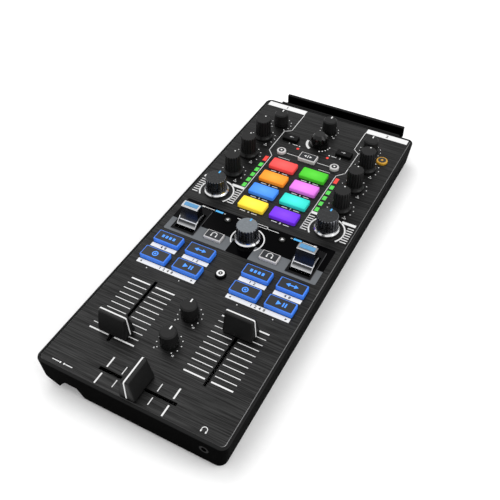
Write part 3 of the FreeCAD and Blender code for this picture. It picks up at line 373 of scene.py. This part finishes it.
caseFinish = makeCaseFinish()
finishes = {
    "case_black": caseFinish,
    "rest_black": caseFinish,
    "panel_brushed": makePanelFinish(),
    "plate_gloss": makePlateFinish(),
    # dead matt
    "feet_rubber": mouldedFinish("mouldedRubber", "#0d0d0d", "#161616", 0.75, 0.9, grain=0.5),
    # green lacquer with an even gloss
    "board_green": mouldedFinish("solderMaskedLaminate", "#0c3a1c", "#11522a", 0.35, 0.5, grain=0.8),
    "pot_metal": makeSteelFinish("pressedSteel", "#7f7f80", "#a5a5a6"),
    # black with a soft sheen
    "switch_black": mouldedFinish("mouldedNylon", "#101010", "#1a1a1a", 0.5, 0.65),
    "light_clear": makeMeterFinish(),
    "socket_dark": makeSocketFinish(),
    "screw_steel": makeSteelFinish("blackenedSteel", "#1b1b1c", "#343435"),
    "knob_rubber": makeSkirtedKnobFinish(),
    "knob_chrome": makeChromeKnobFinish("darkChrome", "#292a2b", "#333435"),
    # wet black with sharp highlights
    "browse_gloss": mouldedFinish("polishedAbs", "#040404", "#080808", 0.1, 0.18, bump=0.03, specular=0.3),
    # velvety black, highlights spread wide
    "fader_black": mouldedFinish("softTouchAbs", "#0d0d0d", "#141414", 0.42, 0.55, grain=0.3, specular=0.2),
    "deck_blue": makeLitFinish("litBlueAcrylic", "#3d7ee2", "#2a66cf", 0.22),
    # black with a small soft highlight
    "button_black": mouldedFinish("glossMouldedAbs", "#050505", "#0a0a0a", 0.28, 0.4, bump=0.1, specular=0.08),
    "button_white": makeLitFinish("whiteAbs", "#cdcbcb", "#bfbcbc", 0.03),
    "button_amber": makeLitFinish("litAmberAcrylic", "#d2a02a", "#a87814", 0.08),
    "paddle_chrome": makePaddleFinish(),
    # black with a fine tooth
    "lever_black": mouldedFinish("texturedNylon", "#111111", "#1c1c1c", 0.45, 0.6),
}
padColours = {
    "pad_left_4": ("#f4524f", "#d63c3c"), "pad_left_3": ("#f79a2e", "#dd7a18"),
    "pad_left_2": ("#4a90f0", "#3274d8"), "pad_left_1": ("#f8da44", "#e8c028"),
    "pad_right_4": ("#4cc42c", "#37a81c"), "pad_right_3": ("#dc7cdc", "#c060c4"),
    "pad_right_2": ("#38dcd0", "#1cb2a6"), "pad_right_1": ("#7632e8", "#5f22cc"),
}
for padSlot, (colour, deep) in padColours.items():
    finishes[padSlot] = makePadFinish(padSlot, colour, deep)
for row in frame["record"]["subparts"]:
    mesh = frame["nodes"][row["node"]].data
    mesh.materials.clear()
    mesh.materials.append(finishes[row["material_slot"]])
silverTop = makeChromeKnobFinish("darkChromeSilverTop", "#676c70", "#787d82")
frame["nodes"]["effect_depth_knob"].data.materials[0] = silverTop
frame["nodes"]["shift_button"].data.materials[0] = finishes["button_black"]

# flat opaque inks
whiteInk = mouldedFinish("screenInkWhite", "#d8d8d8", "#e6e6e6", 0.55, 0.7, bump=0.05)
greyInk = mouldedFinish("screenInkGrey", "#9c9c9c", "#b0b0b0", 0.55, 0.7, bump=0.05)
darkInk = mouldedFinish("screenInkBlack", "#0c0c0c", "#151515", 0.5, 0.65, bump=0.05)
# inks that glow evenly from a lamp behind
blueInk = makeLitFinish("backlitBlueInk", "#3f8ff0", "#2f7ae0", 0.35)
cyanInk = makeLitFinish("backlitCyanInk", "#4aa6dc", "#3590c8", 0.3)
# clear tops and trims: smoky dark, milky blue and bright mirror
smokedTop = mouldedFinish("smokedAcrylic", "#15171b", "#1d2025", 0.3, 0.42, bump=0.05, specular=0.25)
stripFinish = makeLitFinish("frostedBlueAcrylic", "#5392bc", "#31709f", 0.12, grain=1.2)
brightTrim = makeSteelFinish("brightChromeTrim", "#c4c5c8", "#e2e3e5")
print("finishes made,", len(bpy.data.materials))


# Printed marks are laid flat in edit mode, then raised by the height of the ink

def nodeTop(node):
    # middle of a node's top, in metres
    low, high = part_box(node)
    return Vector(((low.x + high.x) / 2, (low.y + high.y) / 2, high.z))


def panelPlace(node):
    # the same as a panel place: x and y in mm, z in metres
    top = nodeTop(node)
    return top.x / mm, (top.y - frontDatum) / mm, top.z


def beginPiece(name):
    clearSelection()
    bpy.ops.mesh.primitive_plane_add(size=mm, location=(0, 0, 0))
    piece = bpy.context.object
    piece.name = piece.data.name = name
    bpy.ops.object.mode_set(mode="EDIT")
    bpy.ops.mesh.select_all(action="SELECT")
    bpy.ops.mesh.delete(type="VERT")
    return piece


def bar(x, y, z, wide, deep, turn=0.0, corner=0.0):
    # x, y and sizes in mm, z in metres
    centre = (x * mm, frontDatum + y * mm, z)
    bpy.ops.mesh.primitive_plane_add(size=1, location=centre)
    bpy.ops.transform.resize(value=(wide * mm, deep * mm, 1), center_override=centre)
    if corner:
        bpy.ops.mesh.bevel(offset=corner * mm, segments=3, affect="VERTICES")
    if turn:
        bpy.ops.transform.rotate(value=-turn, orient_axis="Z", center_override=centre)


def line(start, end, z, wide):
    (x0, y0), (x1, y1) = start, end
    long = math.hypot(x1 - x0, y1 - y0) + wide
    bar((x0 + x1) / 2, (y0 + y1) / 2, z, long, wide, math.atan2(y1 - y0, x1 - x0))


def disc(x, y, z, radius, sides=20):
    bpy.ops.mesh.primitive_circle_add(vertices=sides, radius=radius * mm, fill_type="NGON",
                                      location=(x * mm, frontDatum + y * mm, z))


def triangle(x, y, z, radius, heading):
    # heading in degrees from the back, anticlockwise
    centre = (x * mm, frontDatum + y * mm, z)
    bpy.ops.mesh.primitive_circle_add(vertices=3, radius=radius * mm, fill_type="NGON", location=centre)
    bpy.ops.transform.rotate(value=-math.radians(heading), orient_axis="Z", center_override=centre)


def ring(x, y, z, outer, inner, start=0.0, sweep=360.0, sides=72):
    # a flat band between two radii, kept over an arc: start and sweep in degrees, from the back anticlockwise
    disc(x, y, z, outer, sides)
    bpy.ops.mesh.inset(thickness=(outer - inner) * mm)
    bpy.ops.mesh.delete(type="FACE")
    if sweep >= 360:
        return
    bpy.ops.mesh.select_mode(type="FACE")
    bpy.ops.mesh.select_all(action="DESELECT")
    grid = bmesh.from_edit_mesh(bpy.context.object.data)
    centre = Vector((x * mm, frontDatum + y * mm, z))
    for face in grid.faces:
        arm = face.calc_center_median() - centre
        near = abs(arm.z) < 1e-7 and inner * 0.95 * mm < arm.length < outer * mm
        turn = math.degrees(math.atan2(-arm.x, arm.y))
        if near and (turn - start) % 360 > sweep:
            face.select_set(True)
    bmesh.update_edit_mesh(bpy.context.object.data)
    bpy.ops.mesh.delete(type="FACE")
    bpy.ops.mesh.select_mode(type="VERT")


def dotRing(x, y, z, radius, dot, count, sweep, middle=90.0):
    # dots spun about the knob over a sweep in degrees, the middle of it at the back
    start = math.radians(middle - sweep / 2)
    disc(x + radius * math.cos(start), y + radius * math.sin(start), z, dot, 10)
    bpy.ops.mesh.spin(steps=count - 1, angle=math.radians(sweep), dupli=True, axis=(0, 0, -1),
                      center=(x * mm, frontDatum + y * mm, z))


def frameMark(x, y, z, wide, deep, thick, corner=0.0):
    bar(x, y, z, wide, deep, corner=corner)
    bpy.ops.mesh.inset(thickness=thick * mm)
    bpy.ops.mesh.delete(type="FACE")


def headphoneMark(x, y, z, size):
    # an arc over two ear cups, as shares of the size
    sign = {"inner": 0.78, "arc": (245, 230), "cupX": 0.82, "cupY": 0.55, "cupWide": 0.42, "cupDeep": 0.75}
    ring(x, y, z, size, size * sign["inner"], *sign["arc"], sides=32)
    for side in (-1, 1):
        bar(x + side * size * sign["cupX"], y - size * sign["cupY"], z,
            size * sign["cupWide"], size * sign["cupDeep"])


def numeral(text, x, y, z, size):
    # a plain number, made a mesh before it is placed
    clearSelection()
    bpy.ops.object.text_add(location=(0, 0, 0))
    word = bpy.context.object
    word.data.body = text
    word.data.size = size * mm
    word.data.offset = 0.025 * size * mm  # a slightly bolder stroke
    word.data.resolution_u = 3
    word.data.align_x = "CENTER"
    word.data.align_y = "CENTER"
    bpy.ops.object.convert(target="MESH")
    word = bpy.context.object
    word.location = (x * mm, frontDatum + y * mm, z)
    bpy.ops.object.transform_apply(location=True, rotation=True, scale=True)
    return word


def endPiece(piece, rise, body, material, words=()):
    # numbers joined in, doubles merged, then raised by a height or along a vector
    bpy.ops.object.mode_set(mode="OBJECT")
    clearSelection()
    for word in words:
        word.select_set(True)
    piece.select_set(True)
    bpy.context.view_layer.objects.active = piece
    if words:
        bpy.ops.object.join()
    bpy.ops.object.mode_set(mode="EDIT")
    bpy.ops.mesh.select_all(action="SELECT")
    bpy.ops.mesh.remove_doubles(threshold=0.002 * mm)
    move = rise if isinstance(rise, tuple) else (0, 0, rise)
    bpy.ops.mesh.extrude_region_move(TRANSFORM_OT_translate={"value": move})
    bpy.ops.mesh.select_all(action="SELECT")
    bpy.ops.mesh.normals_make_consistent(inside=False)
    bpy.ops.object.mode_set(mode="OBJECT")
    dressPiece(piece, body, material)


def dressPiece(piece, body, material):
    piece.data.materials.clear()
    piece.data.materials.append(material)
    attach(piece, body)


def copyPiece(piece, first, node):
    # the same piece with a mesh of its own, moved from the first node's top to another's
    twin = piece.copy()
    twin.data = piece.data.copy()
    twin.parent = None
    twin.name = twin.data.name = piece.name.replace(first, node)
    bpy.context.scene.collection.objects.link(twin)
    twin.matrix_world = Matrix.Identity(4)
    twin.data.transform(Matrix.Translation(nodeTop(node) - nodeTop(first)))
    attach(twin, node)


# Panel print, places and sizes in mm, most of it the same on both sides

labelStrips = {"channel": (44.2, 296.4, 34.0, 5.6), "filterInner": (32.2, 188.8, 10.4, 2.5),
               "filterOuter": (55.8, 188.8, 10.4, 2.5), "deckInner": (21.5, 109.9, 19.4, 3.5),
               "deckOuter": (46.6, 109.9, 19.4, 3.5), "deckFront": (34.0, 93.4, 44.6, 3.5),
               "load": (16.6, 253.4, 4.2, 0.45)}  # x, y, width and depth
panelDots = {"load": (12.7, 253.4, 0.6), "deckInner": (21.5, 89.6, 0.4),
             "deckOuter": (46.6, 89.6, 0.4)}  # x, y and radius
panelLines = {"buttons": (0.4, ((8.1, 241.0), (17.7, 241.0))), "pads": (0.35, ((12.2, 234.1), (21.5, 234.1))),
              "channel": (0.45, ((27.0, 293.5), (27.0, 269.4), (32.0, 265.6), (32.0, 238.9), (27.0, 233.3),
                                 (27.0, 170.2)))}  # width, then points
faderScale = {"x": 33.8, "first": 33.4, "pitch": 4.47, "count": 11, "half": 16.4, "slot": 2.1, "thin": 0.5,
              "thick": 1.0}
crossMarks = {"long": (22.9, 1.0, (14.1, 21.6), (1.9, 9.4)),
              "short": (12.2, 0.6, (13.9, 19.4), (4.2, 9.4))}  # x, width, then the ends behind and before the slot
dialSweep = {"count": 11, "sweep": 280}
toneDial = {"x": 44.0, "rows": (202.0, 226.9, 251.7), "radius": 9.5, "dot": 0.42, "numberX": 6.2, "numberY": 9.0}
smallDials = {"dot": 0.4, "ends": ((-6.4, "0"), (6.6, "10")), "numberY": 7.4, "number": 1.7,
              "places": ((0, 68.9, 7.9), (0, 45.6, 7.9), (0, 282.8, 7.5),
                         (-38.7, 273.5, 8.2), (38.7, 273.5, 8.2))}  # x, y and radius
filterDial = {"x": 44.0, "y": 177.2, "band": (13.1, 12.0), "arc": (229, 262), "barX": (29.2, 58.8),
              "barFirst": 170.6, "barPitch": 2.4, "bars": 7, "barSize": (4.6, 0.8)}
browseDial = {"y": 263.0, "band": (10.7, 8.8), "arc": (86, 66),
              "dots": {"radius": 9.2, "dot": 0.55, "count": 5, "sweep": 62, "middle": -36.0}}
padPrint = {"x": 12.6, "first": 167.7, "pitch": 16.43, "rows": 4, "dashX": 4.6, "dash": (4.4, 0.5), "number": 2.4}
monoMark = {"y": 4.1, "dashX": (-52.4, -42.8), "dash": (5.0, 0.5), "dotX": (-49.0, -46.2), "dot": 0.6}
socketMark = {"x": 48.0, "y": 5.8, "size": 1.9}
deckNumber = {"x": 21.6, "y": 253.4, "size": 2.4}


def printFaderScales(side):
    long = faderScale["half"] - faderScale["slot"]
    for step in range(faderScale["count"]):
        thick = faderScale["thick"] if step in (0, faderScale["count"] - 1) else faderScale["thin"]
        y = faderScale["first"] + step * faderScale["pitch"]
        for hand in (-1, 1):
            bar(side * faderScale["x"] + hand * (faderScale["slot"] + long / 2), y, panelTop, long, thick)
    for x, wide, *spans in crossMarks.values():
        for low, high in spans:
            bar(side * x, (low + high) / 2, panelTop, wide, high - low)


def printChannel(side):
    # strips, dots and lines, then the marks round the filter knob, tone knobs and pads
    for x, y, wide, deep in labelStrips.values():
        bar(side * x, y, panelTop, wide, deep)
    for x, y, radius in panelDots.values():
        disc(side * x, y, panelTop, radius, 10)
    for wide, points in panelLines.values():
        for (x0, y0), (x1, y1) in zip(points, points[1:]):
            line((side * x0, y0), (side * x1, y1), panelTop, wide)
    ring(side * filterDial["x"], filterDial["y"], panelTop, *filterDial["band"], *filterDial["arc"])
    for step in range(filterDial["bars"]):
        for x in filterDial["barX"]:
            y = filterDial["barFirst"] + step * filterDial["barPitch"]
            bar(side * x, y, panelTop, *filterDial["barSize"])
    for y in toneDial["rows"]:
        dotRing(side * toneDial["x"], y, panelTop, toneDial["radius"], toneDial["dot"], **dialSweep)
    for padRow in range(padPrint["rows"]):
        for hand in (-1, 1):
            bar(side * padPrint["x"] + hand * padPrint["dashX"], padPrint["first"] + padPrint["pitch"] * padRow,
                panelTop, *padPrint["dash"])


white = beginPiece("panelPrintWhite")
for side in (-1, 1):
    printFaderScales(side)
    printChannel(side)
for x, y, radius in smallDials["places"]:
    dotRing(x, y, panelTop, radius, smallDials["dot"], **dialSweep)
for x in monoMark["dashX"]:
    bar(x, monoMark["y"], panelTop, *monoMark["dash"])
for x in monoMark["dotX"]:
    disc(x, monoMark["y"], panelTop, monoMark["dot"], 12)
ring(0, browseDial["y"], panelTop, *browseDial["band"], *browseDial["arc"])
dotRing(0, browseDial["y"], panelTop, **browseDial["dots"])
headphoneMark(socketMark["x"], socketMark["y"], panelTop, socketMark["size"])
bpy.ops.object.mode_set(mode="OBJECT")
words = []
for side, deck, last in ((-1, "1", 4), (1, "2", 8)):
    words.append(numeral(deck, side * deckNumber["x"], deckNumber["y"], panelTop, deckNumber["size"]))
    for padRow in range(padPrint["rows"]):
        y = padPrint["first"] + padPrint["pitch"] * padRow
        words.append(numeral(str(last - padRow), side * padPrint["x"], y, panelTop, padPrint["number"]))
    for y in toneDial["rows"]:
        for hand, text in ((-1, "-12"), (1, "+12")):
            words.append(numeral(text, side * toneDial["x"] + hand * toneDial["numberX"], y - toneDial["numberY"],
                                 panelTop, smallDials["number"]))
for x, y, radius in smallDials["places"]:
    for aside, text in smallDials["ends"]:
        words.append(numeral(text, x + aside, y - smallDials["numberY"], panelTop, smallDials["number"]))
endPiece(white, inkHeight, "base", whiteInk, words)

# black on the white strips
stripArrow = {"x": 19.5, "size": 1.0}
stripNumbers = {"deckFront": ("1  2  4  8", 2.9), "deckInner": ("1  2", 2.9), "deckOuter": ("4  8", 2.9)}
channelNumber = 4.0
stripTop = panelTop + inkHeight
dark = beginPiece("panelPrintBlack")
for side in (-1, 1):
    for hand in (-1, 1):
        x, y, wide, deep = labelStrips["deckFront"]
        triangle(side * x + hand * stripArrow["x"], y, stripTop, stripArrow["size"], -90 * hand)
bpy.ops.object.mode_set(mode="OBJECT")
words = []
for side, channel in ((-1, "1"), (1, "2")):
    for strip, (text, size) in (("channel", (channel, channelNumber)), *stripNumbers.items()):
        x, y, wide, deep = labelStrips[strip]
        words.append(numeral(text, side * x, y, stripTop, size))
endPiece(dark, inkHeight, "base", darkInk, words)
print("panel print done")


# Effects plate print: bars as x, y, width and depth, on both sides

platePrint = {"bars": ((38.4, 158.5, 7.6, 0.4), (43.8, 158.5, 2.4, 1.0), (26.4, 158.4, 1.4, 0.4),
                       (12.0, 158.7, 8.6, 0.4)), "blue": (30.8, 158.5, 6.0, 1.6)}
depthDial = {"y": 143.3, "band": (12.0, 11.1), "arc": (229, 262)}
plateBox = {"y": 159.4, "wide": 15.0, "deep": 2.4, "thick": 0.35, "corner": 1.0}
plateWhite = beginPiece("platePrintWhite")
for side in (-1, 1):
    for x, y, wide, deep in platePrint["bars"]:
        bar(side * x, y, panelTop, wide, deep)
ring(0, depthDial["y"], panelTop, *depthDial["band"], *depthDial["arc"])
frameMark(0, z=panelTop, **plateBox)
endPiece(plateWhite, inkHeight, "base", whiteInk)
plateBlue = beginPiece("platePrintBlue")
for side in (-1, 1):
    x, y, wide, deep = platePrint["blue"]
    bar(side * x, y, panelTop, wide, deep)
endPiece(plateBlue, inkHeight, "base", cyanInk)
print("effects plate print done")


# Deck buttons: smoked top let into the blue moulding, and a backlit mark

deckButton = {"wide": 17.8, "deep": 8.0, "corner": 0.5, "inlay": 0.08 * mm}
deckMarks = {
    "play": {"left": "front_inner", "right": "front_outer", "arrowX": -1.8, "arrow": 2.1, "barX": (1.8, 3.5),
             "wide": 0.9, "deep": 3.4},
    "cue": {"left": "front_outer", "right": "front_inner", "outer": 2.2, "inner": 1.5, "dot": 0.8},
    "sync": {"left": "back_inner", "right": "back_outer", "arrowX": 2.6, "arrow": 1.8, "wide": 3.4, "deep": 0.8},
    "loop": {"left": "back_outer", "right": "back_inner", "barX": (-4.2, -1.4, 1.4, 4.2), "wide": 1.7,
             "deep": 2.4},
}


def drawDeckMark(kind, sign, x, y, z):
    if kind == "cue":
        ring(x, y, z, sign["outer"], sign["inner"], sides=24)
        disc(x, y, z, sign["dot"], 12)
        return
    if kind == "play":
        triangle(x + sign["arrowX"], y, z, sign["arrow"], -90)
    elif kind == "sync":
        for hand in (-1, 1):
            triangle(x + hand * sign["arrowX"], y, z, sign["arrow"], -90 * hand)
    for shift in sign.get("barX", (0,)):
        bar(x + shift, y, z, sign["wide"], sign["deep"])


deckTop = None
for kind, sign in deckMarks.items():
    left, right = "deck_button_left_" + sign["left"], "deck_button_right_" + sign["right"]
    x, y, z = panelPlace(left)
    if deckTop is None:
        firstDeck = left
        deckTop = beginPiece(left + "_top")
        bar(x, y, z, deckButton["wide"], deckButton["deep"], corner=deckButton["corner"])
        endPiece(deckTop, deckButton["inlay"], left, smokedTop)
    else:
        copyPiece(deckTop, firstDeck, left)
    copyPiece(deckTop, firstDeck, right)
    mark = beginPiece(left + "_mark")
    drawDeckMark(kind, sign, x, y, z + deckButton["inlay"])
    endPiece(mark, inkHeight, left, blueInk)
    copyPiece(mark, left, right)
print("deck buttons done")


# Knob pointers, each kind modelled on its first knob and copied to the others

pointers = {
    "tone": {"back": 4.2, "radius": 0.55, "sunk": 0.04 * mm, "ink": whiteInk, "slot": "knob_rubber"},
    "chrome": {"back": 5.7, "wide": 1.1, "long": 2.4, "ink": cyanInk, "slot": "knob_chrome"},
    "plain": {"back": 3.2, "wide": 0.9, "long": 2.6, "ink": whiteInk, "slot": "knob_rubber"},
}
modelled = {}
for node in frame["nodes"]:
    if "knob" not in node or node == "browse_knob":
        continue
    kind = "tone" if node.startswith("tone") else "chrome" if node.startswith(("filter", "effect")) else "plain"
    pointer = pointers[kind]
    if kind in modelled:
        first, piece = modelled[kind]
        copyPiece(piece, first, node)
        continue
    x, y, z = panelPlace(node)
    piece = beginPiece(node + "_pointer")
    modelled[kind] = node, piece
    if kind == "tone":
        disc(x, y + pointer["back"], z - pointer["sunk"], pointer["radius"], 14)
    else:
        bar(x, y + pointer["back"], z, pointer["wide"], pointer["long"])
    endPiece(piece, inkHeight, node, pointer["ink"])
print("knob pointers done")


# White line over each fader cap, down both ends

faderLine = {"wide": 0.9, "thick": 0.08, "topHalf": 9.0, "edge": 0.6, "lowHalf": 10.25, "low": 1.3}


def drawFaderLine(node, alongX):
    x, y, z = panelPlace(node)
    long, wide, shoulder = 2 * faderLine["topHalf"], faderLine["wide"], faderLine["edge"]
    strip = beginPiece(node + "_line")
    bar(x, y, z, long if alongX else wide, wide if alongX else long)
    centre = nodeTop(node)
    reach = faderLine["lowHalf"] - faderLine["topHalf"] - shoulder
    drop = (z - panelTop) / mm - shoulder - faderLine["low"]
    bpy.ops.mesh.select_mode(type="EDGE")
    for hand in (-1, 1):
        bpy.ops.mesh.select_all(action="DESELECT")
        grid = bmesh.from_edit_mesh(strip.data)
        for edge in grid.edges:
            arm = (edge.verts[0].co + edge.verts[1].co) / 2 - centre
            along = arm.x if alongX else arm.y
            if hand * along > (faderLine["topHalf"] - 0.1) * mm:
                edge.select_set(True)
        bmesh.update_edit_mesh(strip.data)
        for out, down in ((shoulder, shoulder), (reach, drop)):
            move = (hand * out * mm, 0, -down * mm) if alongX else (0, hand * out * mm, -down * mm)
            bpy.ops.mesh.extrude_edges_move(TRANSFORM_OT_translate={"value": move})
    bpy.ops.mesh.select_mode(type="VERT")
    bpy.ops.mesh.select_all(action="SELECT")
    bpy.ops.mesh.normals_make_consistent(inside=False)
    bpy.ops.object.mode_set(mode="OBJECT")
    if strip.data.polygons[0].normal.z < 0:
        strip.data.flip_normals()
    shell = strip.modifiers.new("ink", "SOLIDIFY")
    shell.thickness = faderLine["thick"] * mm
    shell.offset = 1
    bpy.ops.object.modifier_apply(modifier="ink")
    dressPiece(strip, node, whiteInk)
    return strip


leftLine = drawFaderLine("line_fader_left", True)
copyPiece(leftLine, "line_fader_left", "line_fader_right")
drawFaderLine("crossfader", False)
print("fader lines done")


# Small buttons: dark tops and marks

whiteButton = {"split": (12.4, 7.0), "cue": (11.6, 6.4), "corner": 0.3, "inlay": 0.08 * mm,
               "headphones": 2.2, "headphonesBack": 0.3, "arrowX": 2.0, "arrow": 1.3, "bar": (0.5, 3.2)}
for node, size in (("split_button", whiteButton["split"]), ("cue_button_left", whiteButton["cue"])):
    x, y, z = panelPlace(node)
    top = beginPiece(node + "_top")
    bar(x, y, z, *size, corner=whiteButton["corner"])
    endPiece(top, whiteButton["inlay"], node, smokedTop)
    mark = beginPiece(node + "_mark")
    z += whiteButton["inlay"]
    if node == "split_button":
        for hand in (-1, 1):
            triangle(x + hand * whiteButton["arrowX"], y, z, whiteButton["arrow"], -90 * hand)
        bar(x, y, z, *whiteButton["bar"])
    else:
        headphoneMark(x, y + whiteButton["headphonesBack"], z, whiteButton["headphones"])
    endPiece(mark, inkHeight, node, whiteInk)
for piece in (top, mark):
    copyPiece(piece, "cue_button_left", "cue_button_right")

roundButton = {"inlay": 0.06 * mm, "dot": 0.34, "ring": 2.3, "amber": 3.1, "select": 2.0, "selectArrow": 1.4}


def dotButton(node, radius, ink):
    # dark disc with a dot in the middle
    x, y, z = panelPlace(node)
    top = beginPiece(node + "_top")
    disc(x, y, z, radius, 32)
    endPiece(top, roundButton["inlay"], node, darkInk)
    mark = beginPiece(node + "_mark")
    disc(x, y, z + roundButton["inlay"], radius * roundButton["dot"], 12)
    endPiece(mark, inkHeight, node, ink)
    return top, mark


for piece in dotButton("ring_button_left", roundButton["ring"], whiteInk):
    copyPiece(piece, "ring_button_left", "ring_button_right")
dotButton("amber_button", roundButton["amber"], finishes["button_amber"])

loadArrow = {"head": 1.2, "tailX": 1.4, "tailLong": 2.0, "tailThick": 0.5}
for node, hand in (("load_button_left", -1), ("load_button_right", 1)):
    x, y, z = panelPlace(node)
    mark = beginPiece(node + "_mark")
    triangle(x, y, z, loadArrow["head"], -90 * hand)
    bar(x - hand * loadArrow["tailX"], y, z, loadArrow["tailLong"], loadArrow["tailThick"])
    endPiece(mark, inkHeight, node, greyInk)

shiftMark = {"y": 106.6, "band": (2.7, 1.5), "dot": 0.5}
shiftTop = panelPlace("shift_button")[2]
shiftRing = beginPiece("shift_button_ring")
ring(0, shiftMark["y"], shiftTop, *shiftMark["band"], sides=40)
disc(0, shiftMark["y"], shiftTop, shiftMark["dot"], 12)
endPiece(shiftRing, inkHeight, "shift_button", whiteInk)

x, y, z = panelPlace("select_button_left")
selectTop = beginPiece("select_button_left_top")
disc(x, y, z, roundButton["select"], 32)
endPiece(selectTop, roundButton["inlay"], "select_button_left", darkInk)
copyPiece(selectTop, "select_button_left", "select_button_right")
for node, heading in (("select_button_left", 90), ("select_button_right", -90)):
    x, y, z = panelPlace(node)
    mark = beginPiece(node + "_mark")
    triangle(x, y, z + roundButton["inlay"], roundButton["selectArrow"], heading)
    endPiece(mark, inkHeight, node, whiteInk)
print("small buttons done")


# Paddles: blue light strip in the top, chrome edge along each flank as an arc about the pivot

paddleStrip = {"y": 144.0, "wide": 10.6, "deep": 3.4, "corner": 0.3, "sunk": 0.3 * mm, "high": 0.36 * mm}
paddleTrim = {"flank": 7.15, "sunk": 0.2, "thick": 0.45, "pivotY": 143.0, "pivotZ": -5.5,
              "band": (9.9, 9.0), "arc": (64, 88)}
left, right = "effect_paddle_left", "effect_paddle_right"
x, y, z = panelPlace(left)
strip = beginPiece(left + "_strip")
bar(x, paddleStrip["y"], z - paddleStrip["sunk"], paddleStrip["wide"], paddleStrip["deep"],
    corner=paddleStrip["corner"])
endPiece(strip, paddleStrip["high"], left, stripFinish)
copyPiece(strip, left, right)
for hand, word in ((-1, "left"), (1, "right")):
    flankX = x + hand * (paddleTrim["flank"] - paddleTrim["sunk"])
    pivotZ = panelTop + paddleTrim["pivotZ"] * mm
    trim = beginPiece(left + "_trim_" + word)
    ring(flankX, paddleTrim["pivotY"], pivotZ, *paddleTrim["band"], *paddleTrim["arc"])
    bpy.ops.mesh.select_all(action="SELECT")
    bpy.ops.transform.rotate(value=-math.radians(90), orient_axis="Y", center_override=(
        flankX * mm, frontDatum + paddleTrim["pivotY"] * mm, pivotZ))
    endPiece(trim, (hand * paddleTrim["thick"] * mm, 0, 0), left, brightTrim)
    copyPiece(trim, left, right)
print("paddles done")


# Floor, light and camera

studio = {"floorSize": 8, "paper": ("#fbfbfb", "#ffffff"), "grain": 4.0, "rough": (0.85, 0.95), "world": 0.92}
clearSelection()
bpy.ops.mesh.primitive_plane_add(size=studio["floorSize"], location=(0, 0, 0))
floor = bpy.context.object
floor.name = "studioFloor"
floorMaterial, tree, shader, coords = startMaterial("paperSweep", 0.9, specular=0.1)
grainOn(tree, shader, coords, *studio["paper"], studio["grain"], 0.0, *studio["rough"])
floor.data.materials.append(floorMaterial)

world = bpy.data.worlds.new("softRoom")
bpy.context.scene.world = world
world.use_nodes = True
background = world.node_tree.nodes["Background"]
background.inputs["Color"].default_value = (1, 1, 1, 1)
# full white where the camera or a mirror sees the room, a little less as light
path = addNode(world.node_tree, "ShaderNodeLightPath", {})
mirrored = addNode(world.node_tree, "ShaderNodeMath", {
    0: path.outputs["Is Glossy Ray"], 1: path.outputs["Is Transmission Ray"]}, operation="MAXIMUM")
seen = addNode(world.node_tree, "ShaderNodeMath", {
    0: path.outputs["Is Camera Ray"], 1: mirrored.outputs[0]}, operation="MAXIMUM")
level = addNode(world.node_tree, "ShaderNodeMapRange", {
    "Value": seen.outputs[0], "To Min": studio["world"], "To Max": 1.0})
world.node_tree.links.new(level.outputs[0], background.inputs["Strength"])

lamps = {"keyLamp": {"place": (-0.5, 0.25, 1.1), "size": 0.9, "power": 5.0},
         "fillLamp": {"place": (1.0, 0.0, 0.7), "size": 0.8, "power": 4.0}}
for name, setting in lamps.items():
    clearSelection()
    bpy.ops.object.light_add(type="AREA", location=setting["place"])
    lamp = bpy.context.object
    lamp.name = name
    lamp.data.energy = setting["power"]
    lamp.data.size = setting["size"]
    lamp.rotation_euler = (-Vector(setting["place"])).to_track_quat("-Z", "Y").to_euler()

view = {"place": (0.16019, -0.30081, 0.35291), "azimuth": 28.914, "elevation": 46.079, "roll": -0.973,
        "lens": 49.04, "sensor": 36}
camera = bpy.data.objects.new("photoCamera", bpy.data.cameras.new("photoCamera"))
bpy.context.scene.collection.objects.link(camera)
camera.location = view["place"]
swing = Quaternion((0, 0, 1), math.radians(view["azimuth"]))
tilt = Quaternion((1, 0, 0), math.radians(90 - view["elevation"]))
roll = Quaternion((0, 0, 1), math.radians(view["roll"]))
camera.rotation_euler = (swing @ tilt @ roll).to_euler()
camera.data.lens = view["lens"]
camera.data.sensor_width = view["sensor"]
bpy.context.scene.camera = camera
bpy.context.scene.view_settings.view_transform = "Standard"

print("scene ready")
